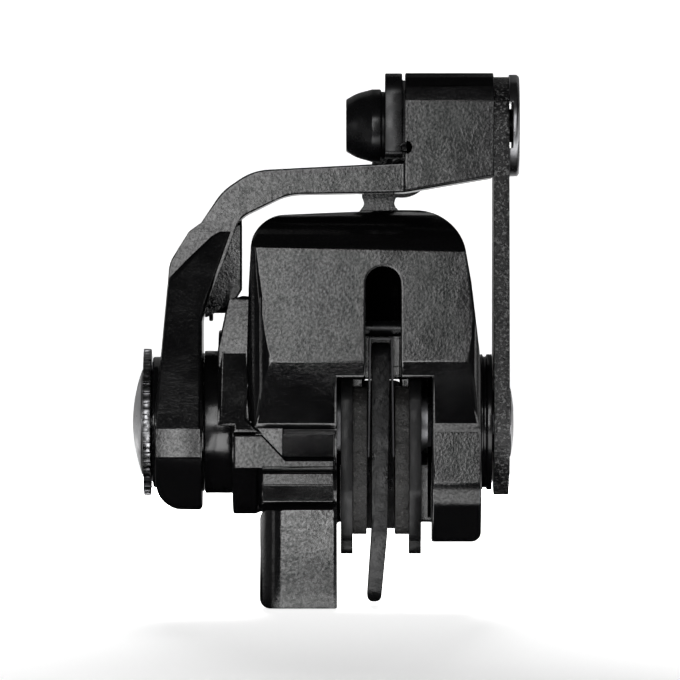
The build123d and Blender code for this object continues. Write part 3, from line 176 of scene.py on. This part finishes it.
def pick(piece):
    """Makes the piece the only one selected, and the active one."""
    deselect()
    piece.select_set(True)
    bpy.context.view_layer.objects.active = piece


def node_copy(node, name):
    """A merged copy of a CAD node's mesh, as a piece of its own."""
    deselect()
    piece = bpy.data.objects.new(name, frame["nodes"][node].data.copy())
    bpy.context.scene.collection.objects.link(piece)
    piece.data.materials.clear()
    pick(piece)
    bpy.ops.object.mode_set(mode="EDIT")
    bpy.ops.mesh.select_all(action="SELECT")
    bpy.ops.mesh.remove_doubles(threshold=WELD_GAP)
    bpy.ops.mesh.customdata_custom_splitnormals_clear()
    bpy.ops.object.mode_set(mode="OBJECT")
    return piece


def apply_all(piece):
    """Applies the piece's modifiers in their order."""
    pick(piece)
    for modifier in list(piece.modifiers):
        bpy.ops.object.modifier_apply(modifier=modifier.name)


def hand_over(piece, *nodes, material=None):
    """Puts the piece in place of its CAD nodes, on their body and with their finish."""
    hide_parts(*nodes)
    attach(piece, BODY_OF[nodes[0]])
    piece.data.materials.clear()
    piece.data.materials.append(material or finish_for(SLOT_OF[nodes[0]]))


def room_beside(edge):
    """The widest round for which the edges at both its ends leave room."""
    room = edge.calc_length()
    for vertex in edge.verts:
        along = edge.other_vert(vertex).co - vertex.co
        for other in vertex.link_edges:
            if other is not edge:
                turn = along.angle(other.other_vert(vertex).co - vertex.co, 0.0)
                room = min(room, other.calc_length() * sin(min(turn, pi / 2)))
    return room


def weigh_edges(piece, width, floor):
    """Gives each sharp edge above the floor value the bevel weight that its surroundings allow."""
    mesh = bmesh.from_edit_mesh(piece.data)
    weights = mesh.edges.layers.float.new("bevel_weight_edge")
    for edge in mesh.edges:
        sharp = edge.is_manifold and edge.calc_face_angle() > SHARP_TURN
        if sharp and min(vertex.co.z for vertex in edge.verts) > floor:
            edge[weights] = min(1.0, ROOM_SHARE * room_beside(edge) / width)
    bmesh.update_edit_mesh(piece.data)


def rounded(node, name, width, segments=2, material=None, details=(), floor=-1.0):
    """The node with its details added, its flat faces joined and its edges broken by a small round."""
    piece = node_copy(node, name)
    for detail in details:
        combine(piece, detail, "UNION")
    pick(piece)
    bpy.ops.object.mode_set(mode="EDIT")
    bpy.ops.mesh.select_all(action="SELECT")
    bpy.ops.mesh.dissolve_limited(angle_limit=FLAT_TURN)
    weigh_edges(piece, width, floor)
    bpy.ops.object.mode_set(mode="OBJECT")
    bevel = piece.modifiers.new("edge", "BEVEL")
    bevel.width = width
    bevel.segments = segments
    bevel.limit_method = "WEIGHT"
    bevel.use_clamp_overlap = False
    apply_all(piece)
    bpy.ops.object.shade_smooth_by_angle(angle=SMOOTH_TURN)
    hand_over(piece, node, material=material)
    return piece


def prism(points, low, high, sideways=False):
    """A closed outline in X and Z, or in Y and Z, made solid between two values. Sizes are in mm."""
    curve = bpy.data.curves.new("outline", "CURVE")
    curve.dimensions = "2D"
    curve.fill_mode = "BOTH"
    curve.extrude = (high - low) * MM / 2
    line = curve.splines.new("POLY")
    line.points.add(len(points) - 1)
    for point, (across, up) in zip(line.points, points):
        point.co = (across * MM, up * MM, 0, 1)
    line.use_cyclic_u = True
    solid = bpy.data.objects.new("outline", curve)
    bpy.context.scene.collection.objects.link(solid)
    middle = (low + high) * MM / 2
    solid.location = (middle, 0, 0) if sideways else (0, middle, 0)
    solid.rotation_euler = (radians(90), 0, radians(90) if sideways else 0)
    pick(solid)
    bpy.ops.object.convert(target="MESH")
    bpy.ops.object.transform_apply(location=True, rotation=True, scale=True)
    bpy.ops.object.mode_set(mode="EDIT")
    bpy.ops.mesh.select_all(action="SELECT")
    bpy.ops.mesh.remove_doubles(threshold=WELD_GAP)
    bpy.ops.mesh.normals_make_consistent(inside=False)
    bpy.ops.object.mode_set(mode="OBJECT")
    return bpy.context.object


def combine(piece, other, operation):
    """Joins the other solid to the piece, or keeps what both share."""
    join = piece.modifiers.new("join", "BOOLEAN")
    join.operation = operation
    join.solver = "EXACT"
    join.object = other
    apply_all(piece)
    bpy.data.objects.remove(other, do_unlink=True)


def flatten_large_faces(piece, area, rim):
    """Gives each large face a narrow rim, so that its middle is shaded flat."""
    pick(piece)
    bpy.ops.object.mode_set(mode="EDIT")
    bpy.ops.mesh.select_mode(type="FACE")
    bpy.ops.mesh.select_all(action="DESELECT")
    mesh = bmesh.from_edit_mesh(piece.data)
    for face in mesh.faces:
        face.select = face.calc_area() > area
    bmesh.update_edit_mesh(piece.data)
    bpy.ops.mesh.inset(thickness=rim, use_individual=True, use_even_offset=False)
    bpy.ops.object.mode_set(mode="OBJECT")


def forged(node, name, width, details):
    """The node with its forged details and wide soft edges, as after blasting and painting."""
    piece = rounded(node, name, width, 3, details=details, floor=FOOT_END)
    flatten_large_faces(piece, LARGE_FACE, width * RIM_SHARE)
    level = piece.modifiers.new("level", "WEIGHTED_NORMAL")
    level.keep_sharp = True
    apply_all(piece)
    return piece


def sloped(outline, side):
    """The outline's solid, cut by a side profile."""
    solid = prism(outline, *SLOPED_DEPTH)
    combine(solid, prism(side, *SLOPED_ACROSS, sideways=True), "INTERSECT")
    return solid


def circle(radius):
    """Points of a circle about the pivot axis."""
    turns = [2 * pi * step / CIRCLE_POINTS for step in range(CIRCLE_POINTS)]
    return [(radius * cos(turn), PIVOT_UP + radius * sin(turn)) for turn in turns]


def ring(radii, across):
    """A ring about the pivot axis."""
    outer, inner = radii
    low, high = across
    solid = prism(circle(outer), low, high, sideways=True)
    combine(solid, prism(circle(inner), low - 1, high + 1, sideways=True), "DIFFERENCE")
    return solid


def body_details():
    """The boss, the ledge, the ear's slope, the stripe and the facet, and a dark bar behind the slot that
    stands in for shade there.
    """
    yield prism(BOSS_SIDE, *BOSS_ACROSS, sideways=True)
    yield sloped(LEDGE_OUTLINE, LEDGE_SIDE)
    yield sloped(EAR_OUTLINE, EAR_SIDE)
    yield prism(STRIPE_SIDE, *STRIPE_ACROSS, sideways=True)
    yield prism(FACET_OUTLINE, *FACET_DEPTH)
    yield prism(SHADE_BAR_OUTLINE, *SHADE_BAR_DEPTH)


def arm_details():
    """The arm's sloping front, its web's and its block's draft, and its two thrust rings."""
    yield sloped(ARM_FRONT_OUTLINE, ARM_FRONT_SIDE)
    yield sloped(WEB_OUTLINE, WEB_SIDE)
    yield sloped(BLOCK_TOP_OUTLINE, BLOCK_TOP_SIDE)
    yield ring(DIAL_RING_RADII, DIAL_RING_ACROSS)
    yield ring(CUP_RING_RADII, CUP_RING_ACROSS)


class Finish:
    """Builds one material's nodes, reading Object coordinates in metres."""

    def __init__(self, name, colour, roughness, metallic=0.0, coat=0.0, specular=0.5):
        self.material = bpy.data.materials.new(name)
        self.material.use_nodes = True
        self.tree = self.material.node_tree
        self.shader = self.tree.nodes["Principled BSDF"]
        self.colour = colour
        self.roughness = roughness
        self.shader.inputs["Base Color"].default_value = (*colour, 1)
        self.shader.inputs["Roughness"].default_value = roughness
        self.shader.inputs["Metallic"].default_value = metallic
        self.shader.inputs["Coat Weight"].default_value = coat
        self.shader.inputs["Coat Roughness"].default_value = 0.12
        self.shader.inputs["Specular IOR Level"].default_value = specular
        self.place = self.tree.nodes.new("ShaderNodeTexCoord").outputs["Object"]
        self.normal = None

    def noise(self, size, detail=3, roughness=0.5, stretch=(1, 1, 1)):
        """A noise of the given size in metres."""
        mapping = self.tree.nodes.new("ShaderNodeMapping")
        mapping.inputs["Scale"].default_value = stretch
        self.tree.links.new(self.place, mapping.inputs["Vector"])
        noise = self.tree.nodes.new("ShaderNodeTexNoise")
        noise.inputs["Scale"].default_value = 1 / size
        noise.inputs["Detail"].default_value = detail
        noise.inputs["Roughness"].default_value = roughness
        self.tree.links.new(mapping.outputs["Vector"], noise.inputs["Vector"])
        return noise.outputs["Fac"]

    def cells(self, size):
        """Small cells of the given size in metres."""
        cells = self.tree.nodes.new("ShaderNodeTexVoronoi")
        cells.inputs["Scale"].default_value = 1 / size
        self.tree.links.new(self.place, cells.inputs["Vector"])
        return cells.outputs["Distance"]

    def axes(self):
        """The place along X, Y and Z."""
        axes = self.tree.nodes.new("ShaderNodeSeparateXYZ")
        self.tree.links.new(self.place, axes.inputs[0])
        return axes.outputs

    def span(self, value, low, high, to_low, to_high):
        """Maps the value from low and high to two other numbers, and no further."""
        node = self.tree.nodes.new("ShaderNodeMapRange")
        ends = {"From Min": low, "From Max": high, "To Min": to_low, "To Max": to_high}
        for name, number in ends.items():
            node.inputs[name].default_value = number
        self.tree.links.new(value, node.inputs["Value"])
        return node.outputs["Result"]

    def bump(self, height, depth, strength=1.0):
        """Adds a bump on top of those made before."""
        node = self.tree.nodes.new("ShaderNodeBump")
        node.inputs["Strength"].default_value = strength
        node.inputs["Distance"].default_value = depth
        self.tree.links.new(height, node.inputs["Height"])
        if self.normal:
            self.tree.links.new(self.normal, node.inputs["Normal"])
        self.normal = node.outputs["Normal"]
        self.tree.links.new(self.normal, self.shader.inputs["Normal"])

    def vary_colour(self, value, low, high, worn):
        """Turns the colour into the worn one where the value is high."""
        mix = self.tree.nodes.new("ShaderNodeMix")
        mix.data_type = "RGBA"
        mix.inputs[6].default_value = (*self.colour, 1)
        mix.inputs[7].default_value = (*worn, 1)
        self.tree.links.new(self.span(value, low, high, 0, 1), mix.inputs[0])
        self.tree.links.new(mix.outputs[2], self.shader.inputs["Base Color"])

    def vary_shine(self, value, low, high, least, most):
        """Lets the strength of the gloss follow the value."""
        varied = self.span(value, low, high, least, most)
        self.tree.links.new(varied, self.shader.inputs["Specular IOR Level"])

    def vary_roughness(self, value, spread):
        """Lets the roughness follow the value, by the spread to each side."""
        varied = self.span(value, 0.3, 0.7, self.roughness - spread, self.roughness + spread)
        self.tree.links.new(varied, self.shader.inputs["Roughness"])


def lighter(colour, share):
    """The colour times the share, at most white."""
    return tuple(min(1.0, channel * share) for channel in colour)


def forging_paint():
    """Black paint on the blasted forgings."""
    values = bpy.context.scene.caliper_finish
    finish = Finish("forging_paint", values.paint, values.paint_gloss, specular=0.5)
    finish.bump(finish.noise(0.0042, 2), 0.00012, 0.2)
    finish.bump(finish.noise(0.0004, 3, 0.6), 0.00003, 0.35)
    finish.vary_shine(finish.noise(0.0004, 6, 0.85), 0.4, 0.6, 0.24, 0.76)
    finish.vary_roughness(finish.noise(0.006, 4), 0.04)
    finish.vary_colour(finish.noise(0.0015, 6, 0.7), 0.62, 0.8, lighter(values.paint, 2.2))
    return finish.material


def machined_paint():
    """Black paint on the turned parts."""
    values = bpy.context.scene.caliper_finish
    finish = Finish("machined_paint", values.paint, 0.16)
    finish.bump(finish.noise(0.0005, 3), 0.00002, 0.5)
    finish.vary_roughness(finish.noise(0.003, 4), 0.08)
    finish.vary_colour(finish.noise(0.001, 5, 0.7), 0.6, 0.8, lighter(values.paint, 2.5))
    return finish.material


def oxide_steel():
    """Black oxide on turned steel."""
    values = bpy.context.scene.caliper_finish
    finish = Finish("oxide_steel", values.oxide, 0.27, metallic=0.35)
    finish.bump(finish.noise(0.0004, 3, stretch=(0.1, 1, 1)), 0.00001, 0.5)
    finish.vary_roughness(finish.noise(0.002, 4), 0.08)
    finish.vary_colour(finish.noise(0.0012, 5, 0.7), 0.58, 0.8, lighter(values.oxide, 3))
    return finish.material


def bright_steel():
    """Plated or bare bright steel."""
    values = bpy.context.scene.caliper_finish
    finish = Finish("bright_steel", values.bright, 0.32, metallic=1.0)
    finish.bump(finish.noise(0.0005, 4, stretch=(0.15, 1, 1)), 0.000012, 0.6)
    finish.vary_roughness(finish.noise(0.0025, 5), 0.1)
    finish.vary_colour(finish.noise(0.002, 5, 0.7), 0.45, 0.75, lighter(values.bright, 0.6))
    return finish.material


def hard_steel():
    """Ground steel of the balls and ramps."""
    finish = Finish("hard_steel", (0.13, 0.13, 0.135), 0.3, metallic=1.0)
    finish.bump(finish.noise(0.0006, 3), 0.000006, 0.5)
    finish.vary_roughness(finish.noise(0.002, 4), 0.06)
    return finish.material


def bearing_bronze():
    """Porous bronze of the bushes."""
    values = bpy.context.scene.caliper_finish
    finish = Finish("bearing_bronze", values.bronze, 0.4, metallic=1.0)
    finish.bump(finish.cells(0.0004), 0.00001, 0.6)
    finish.vary_roughness(finish.noise(0.002, 4), 0.1)
    return finish.material


def plate_coat():
    """Black coat of the pads' backing plates."""
    values = bpy.context.scene.caliper_finish
    finish = Finish("plate_coat", values.plate_black, 0.4, specular=0.25)
    finish.bump(finish.noise(0.0012, 3), 0.00005, 0.5)
    finish.bump(finish.cells(0.00035), 0.00003, 0.4)
    finish.vary_roughness(finish.noise(0.0015, 4), 0.12)
    finish.vary_colour(finish.noise(0.0008, 6, 0.75), 0.56, 0.74, lighter(values.plate_black, 3.5))
    return finish.material


def stamped_link():
    """The link plate's coat, pitted all over."""
    values = bpy.context.scene.caliper_finish
    finish = Finish("stamped_link", values.plate_black, 0.34)
    finish.bump(finish.noise(0.0016, 2), 0.0002, 0.5)
    finish.bump(finish.noise(0.00055, 3, 0.6), 0.0003, 0.8)
    finish.vary_roughness(finish.noise(0.001, 4), 0.12)
    finish.vary_colour(finish.noise(0.00045, 3, 0.7), 0.55, 0.59, (0.18, 0.18, 0.18))
    return finish.material


def friction_compound():
    """Moulded friction material with light grains."""
    values = bpy.context.scene.caliper_finish
    finish = Finish("friction_compound", values.compound, 0.36, specular=0.4)
    finish.bump(finish.noise(0.003, 3, 0.6), 0.0008, 0.6)
    finish.bump(finish.noise(0.0009, 6, 0.75), 0.0003, 0.8)
    finish.vary_colour(finish.noise(0.0006, 4, 0.8), 0.56, 0.68, (0.16, 0.155, 0.15))
    return finish.material


def spacer_plastic():
    """Black plastic, with painted shade: its gloss falls towards the top of the slot, where the pads
    shade it.
    """
    values = bpy.context.scene.caliper_finish
    finish = Finish("spacer_plastic", values.plastic, 0.4, specular=0.3)
    finish.bump(finish.noise(0.0035, 4, 0.6), 0.0009, 0.55)
    finish.bump(finish.noise(0.0005, 4), 0.00009, 0.7)
    # Painted shade: less gloss higher up, standing in for the shade in the slot.
    finish.vary_shine(finish.axes()[2], 0.024, 0.036, 0.38, 0.08)
    finish.vary_roughness(finish.noise(0.002, 5), 0.15)
    finish.vary_colour(finish.noise(0.003, 6, 0.7), 0.55, 0.8, lighter(values.plastic, 3))
    return finish.material


def spring_steel():
    """Dark spring steel."""
    finish = Finish("spring_steel", (0.022, 0.022, 0.023), 0.32, metallic=0.8)
    finish.bump(finish.noise(0.0003, 3), 0.000008, 0.5)
    finish.vary_roughness(finish.noise(0.002, 4), 0.08)
    return finish.material


def black_rubber():
    """Black rubber of the sealing ring."""
    finish = Finish("black_rubber", (0.012, 0.012, 0.012), 0.6)
    finish.bump(finish.noise(0.0003, 4), 0.00002, 0.6)
    finish.vary_roughness(finish.noise(0.001, 4), 0.1)
    return finish.material


MAKERS = {
    "black_forging": forging_paint, "black_machined": machined_paint, "black_steel": oxide_steel,
    "bright_steel": bright_steel, "hard_steel": hard_steel, "bearing_bronze": bearing_bronze,
    "plate_paint": plate_coat, "friction_compound": friction_compound, "spacer_plastic": spacer_plastic,
    "spring_steel": spring_steel, "black_rubber": black_rubber,
}
MADE = {}


def finish_for(slot):
    """The material of a slot, made once."""
    if slot not in MADE:
        MADE[slot] = MAKERS[slot]()
    return MADE[slot]


class MakeForgings(bpy.types.Operator):
    """The forged body and the forged arm, with soft edges"""
    bl_idname = "caliper.make_forgings"
    bl_label = "Forgings"

    def execute(self, context):
        sizes = context.scene.caliper_sizes
        forged("caliper_body", "forged_body", sizes.forged_edge, body_details())
        forged("actuating_arm", "forged_arm", sizes.forged_edge, arm_details())
        return {"FINISHED"}


class MakeLink(bpy.types.Operator):
    """The stamped link plate and the nut at its foot"""
    bl_idname = "caliper.make_link"
    bl_label = "Link"

    def execute(self, context):
        sizes = context.scene.caliper_sizes
        rounded("link_plate", "stamped_link_plate", sizes.stamped_edge, material=stamped_link())
        rounded("pivot_nut", "link_foot_nut", sizes.stamped_edge)
        return {"FINISHED"}


class MakeClamp(bpy.types.Operator):
    """The cable clamp's bolt, plate and round nut"""
    bl_idname = "caliper.make_clamp"
    bl_label = "Cable clamp"

    def execute(self, context):
        sizes = context.scene.caliper_sizes
        rounded("clamp_bolt", "cable_bolt", sizes.machined_edge, 3)
        rounded("clamp_plate", "cable_plate", sizes.machined_edge, 3)
        rounded("yoke_nut", "round_nut", sizes.machined_edge, 3)
        return {"FINISHED"}


class MakeDial(bpy.types.Operator):
    """The notched dial, its domed cap and the arm's ring nut"""
    bl_idname = "caliper.make_dial"
    bl_label = "Dial"

    def execute(self, context):
        sizes = context.scene.caliper_sizes
        rounded("adjuster_dial", "notched_dial", sizes.stamped_edge * DIAL_SHARE,
                material=bright_steel())
        rounded("dial_cap", "domed_cap", sizes.stamped_edge)
        rounded("arm_nut", "ring_nut", sizes.stamped_edge)
        return {"FINISHED"}


class MakeRings(bpy.types.Operator):
    """The spring's cup, the end cap and the barrel adjuster"""
    bl_idname = "caliper.make_rings"
    bl_label = "Cup, cap and barrel"

    def execute(self, context):
        sizes = context.scene.caliper_sizes
        rounded("spring_housing", "spring_cup", sizes.machined_edge, 3)
        rounded("inboard_end_cap", "end_cap", sizes.machined_edge, 3)
        rounded("barrel_adjuster", "barrel_screw", sizes.machined_edge * BARREL_SHARE)
        return {"FINISHED"}


class MakePads(bpy.types.Operator):
    """The two pads, their pin and spring, and the transport spacer"""
    bl_idname = "caliper.make_pads"
    bl_label = "Pads and spacer"

    def execute(self, context):
        sizes = context.scene.caliper_sizes
        for side in ("outboard", "inboard"):
            rounded(f"{side}_pad_plate", f"{side}_backing_plate", sizes.stamped_edge)
            rounded(f"{side}_pad_friction", f"{side}_friction_block", sizes.stamped_edge)
        rounded("pad_spring", "leaf_spring", sizes.stamped_edge * LEAF_SHARE, 1)
        rounded("pad_spacer", "transport_spacer", sizes.moulded_edge, 3)
        return {"FINISHED"}


class DressFrame(bpy.types.Operator):
    """Gives every CAD node that stays its finish"""
    bl_idname = "caliper.dress_frame"
    bl_label = "Other nodes"

    def execute(self, context):
        for node, piece in frame["nodes"].items():
            piece.data.materials.clear()
            piece.data.materials.append(finish_for(SLOT_OF[node]))
        return {"FINISHED"}


def area_lamp(name, place, width, height, level, mirrored):
    """A soft box that faces the object. Its level is its radiance."""
    values = bpy.context.scene.caliper_stage
    data = bpy.data.lights.new(name, "AREA")
    data.shape = "RECTANGLE"
    data.size = width
    data.size_y = height
    data.energy = pi * width * height * level * values.lamp_share
    lamp = bpy.data.objects.new(name, data)
    bpy.context.scene.collection.objects.link(lamp)
    lamp.location = place
    towards = Vector(values.view_centre) - Vector(place)
    lamp.rotation_euler = towards.to_track_quat("-Z", "Y").to_euler()
    lamp.visible_camera = False
    lamp.visible_glossy = mirrored


class Backdrop(Finish):
    """White for the camera, with a soft shadow near the object, partly cast by the back lamp and partly
    painted shade in the camera's glow, and bright zones that only reflections see, as painted
    reflections.
    """

    def __init__(self):
        super().__init__("backdrop_white", (0.8, 0.8, 0.8), 1.0, specular=0.0)
        self.material.cycles.emission_sampling = "NONE"
        path = self.tree.nodes.new("ShaderNodeLightPath").outputs
        across, depth, height = self.axes()
        # Painted shade: the camera's white glow is lowered and graded towards the front, so the floor
        # darkens there as well as in the back lamp's shadow.
        seen = self.times(self.glow(depth), path["Is Camera Ray"])
        # Painted reflections: the floor glows in these zones only for glossy rays, so they show in the
        # object's reflections and light nothing else.
        around = self.most(self.rear(depth, height), self.sides(across))
        before = self.plus(self.card(across, depth), self.front_reflection_zone(across, depth))
        zones = self.plus(before, around)
        mirrored = self.times(zones, path["Is Glossy Ray"])
        level = self.plus(self.plus(seen, mirrored), path["Is Transmission Ray"])
        self.shader.inputs["Emission Color"].default_value = (1, 1, 1, 1)
        self.tree.links.new(level, self.shader.inputs["Emission Strength"])
        # Painted reflection: the floor is black to glossy rays, so outside the zones it shows dark in
        # reflections.
        pale = self.span(path["Is Glossy Ray"], 0, 1, 0.8, 0.0)
        self.tree.links.new(pale, self.shader.inputs["Base Color"])

    def glow(self, depth):
        """What the camera sees: white far behind, and painted shade in front, a paler glow that darkens
        towards the front where the back lamp's shadow lies.
        """
        front_end = self.span(depth, -0.4, -0.32, 0.46, 0)
        return self.plus(self.span(depth, -0.3, 0.08, 0.54, 1.0), front_end)

    def card(self, across, depth):
        """A painted reflection: a bright card on the floor before the object, seen only in reflections,
        with gaps beside the arm's hub.
        """
        spacer = self.band(across, 0.005, 0.016)
        reach = self.calculate("SUBTRACT", depth, self.span(spacer, 0, 1, 0, 0.021))
        zone = self.times(self.span(depth, -0.098, -0.082, 0, 1), self.span(reach, -0.034, -0.03, 1, 0))
        hub = self.band(across, -0.0215, -0.0168)
        beside = self.span(across, -0.0155, -0.0145, 0, 1)
        level = self.times(self.span(across, -0.012, 0.03, 5.4, 2.4), self.most(hub, beside))
        return self.times(zone, level)

    def rear(self, depth, height):
        """A dimmer zone behind the object, which ends on the wall."""
        near = self.span(depth, 0.05, 0.25, 0, 1.6)
        level = self.calculate("SUBTRACT", near, self.span(depth, 0.5, 0.8, 0, 1.15))
        return self.times(level, self.span(height, 0.5, 0.7, 1, 0))

    def sides(self, across):
        """A faint zone at each side."""
        left = self.span(across, -0.12, -0.045, 0.22, 0)
        return self.plus(left, self.span(across, 0.06, 0.14, 0, 0.25))

    def front_reflection_zone(self, across, depth):
        """A painted reflection: a narrow bright zone far in front, seen only in reflections, for the
        foot's face.
        """
        return self.times(self.span(depth, -0.24, -0.22, 10.0, 0), self.band(across, -0.007, 0.009))

    def calculate(self, operation, first, second):
        """One sum on two values."""
        node = self.tree.nodes.new("ShaderNodeMath")
        node.operation = operation
        self.tree.links.new(first, node.inputs[0])
        self.tree.links.new(second, node.inputs[1])
        return node.outputs[0]

    def plus(self, first, second):
        """The sum of two values."""
        return self.calculate("ADD", first, second)

    def times(self, first, second):
        """The product of two values."""
        return self.calculate("MULTIPLY", first, second)

    def most(self, first, second):
        """The larger of two values."""
        return self.calculate("MAXIMUM", first, second)

    def band(self, value, low, high, blur=0.001):
        """One between low and high, and zero outside them."""
        rise = self.span(value, low - blur, low + blur, 0, 1)
        return self.times(rise, self.span(value, high - blur, high + blur, 1, 0))


def add_sweep():
    """The floor and the wall behind it, with a wide bend between them."""
    deselect()
    bpy.ops.mesh.primitive_plane_add(size=1, location=(0, 0, SWEEP_PLACE[2]))
    sweep = bpy.context.object
    sweep.name = "sweep"
    bpy.ops.object.mode_set(mode="EDIT")
    bpy.ops.mesh.select_all(action="SELECT")
    bpy.ops.transform.resize(value=SWEEP_SIZE)
    bpy.ops.transform.translate(value=(0, SWEEP_PLACE[1], 0))
    bpy.ops.mesh.select_all(action="DESELECT")
    mesh = bmesh.from_edit_mesh(sweep.data)
    rear_edge = SWEEP_PLACE[1] + SWEEP_SIZE[1] / 2
    for edge in mesh.edges:
        edge.select = all(vertex.co.y > rear_edge - 0.5 for vertex in edge.verts)
    mesh.select_flush(True)
    bmesh.update_edit_mesh(sweep.data)
    bpy.ops.mesh.extrude_region_move(TRANSFORM_OT_translate={"value": (0, 0, WALL_HEIGHT)})
    bpy.ops.object.mode_set(mode="OBJECT")
    bend = sweep.modifiers.new("bend", "BEVEL")
    bend.width = 0.5
    bend.segments = 24
    bend.limit_method = "ANGLE"
    apply_all(sweep)
    bpy.ops.object.shade_smooth()
    sweep.data.materials.append(Backdrop().material)


def light_sky(scene):
    """A world that is white for the camera and nearly dark for the object."""
    world = scene.world or bpy.data.worlds.new("studio")
    scene.world = world
    world.use_nodes = True
    tree = world.node_tree
    sky = tree.nodes["Background"]
    sky.inputs["Color"].default_value = (1, 1, 1, 1)
    level = tree.nodes.new("ShaderNodeMapRange")
    level.inputs["To Min"].default_value = SKY_LEVEL
    path = tree.nodes.new("ShaderNodeLightPath")
    tree.links.new(path.outputs["Is Camera Ray"], level.inputs["Value"])
    tree.links.new(level.outputs["Result"], sky.inputs["Strength"])


def add_camera(scene):
    """The camera, level and straight in front."""
    values = scene.caliper_stage
    data = bpy.data.cameras.new("camera")
    data.sensor_width = SENSOR_WIDTH
    data.lens = SENSOR_WIDTH * values.view_distance / values.view_width
    data.clip_end = 20
    camera = bpy.data.objects.new("camera", data)
    scene.collection.objects.link(camera)
    camera.location = Vector(values.view_centre) - Vector((0, values.view_distance, 0))
    camera.rotation_euler = (radians(90), 0, 0)
    scene.camera = camera


class MakeStage(bpy.types.Operator):
    """The pale sweep, the lamps and the camera"""
    bl_idname = "caliper.make_stage"
    bl_label = "Stage"

    def execute(self, context):
        scene = context.scene
        scene.view_settings.view_transform = "Standard"
        add_sweep()
        for lamp in LAMPS:
            area_lamp(*lamp)
        light_sky(scene)
        add_camera(scene)
        return {"FINISHED"}


OPERATORS = (MakeStage, DressFrame, MakeForgings, MakeLink, MakeClamp, MakeDial, MakeRings, MakePads)


class CaliperPanel(bpy.types.Panel):
    """Lists the caliper's pieces"""
    bl_idname = "VIEW3D_PT_caliper"
    bl_label = "Caliper"
    bl_space_type = "VIEW_3D"
    bl_region_type = "UI"
    bl_category = "Caliper"

    def draw(self, context):
        for operator in OPERATORS:
            self.layout.operator(operator.bl_idname)
        for group in ("caliper_sizes", "caliper_finish", "caliper_stage"):
            values = getattr(context.scene, group)
            for name in values.bl_rna.properties.keys():
                if name not in ("rna_type", "name"):
                    self.layout.prop(values, name)


CLASSES = (CaliperSizes, CaliperFinish, CaliperStage, *OPERATORS, CaliperPanel)


def register():
    """Registers the classes and their values."""
    for group in CLASSES:
        bpy.utils.register_class(group)
    bpy.types.Scene.caliper_sizes = PointerProperty(type=CaliperSizes)
    bpy.types.Scene.caliper_finish = PointerProperty(type=CaliperFinish)
    bpy.types.Scene.caliper_stage = PointerProperty(type=CaliperStage)


def unregister():
    """Takes back what register added."""
    for name in ("caliper_sizes", "caliper_finish", "caliper_stage"):
        delattr(bpy.types.Scene, name)
    for group in reversed(CLASSES):
        bpy.utils.unregister_class(group)


def main():
    """Makes every piece in order."""
    register()
    for operator in OPERATORS:
        getattr(bpy.ops.caliper, operator.bl_idname.split(".")[1])()


if __name__ == "__main__":
    main()
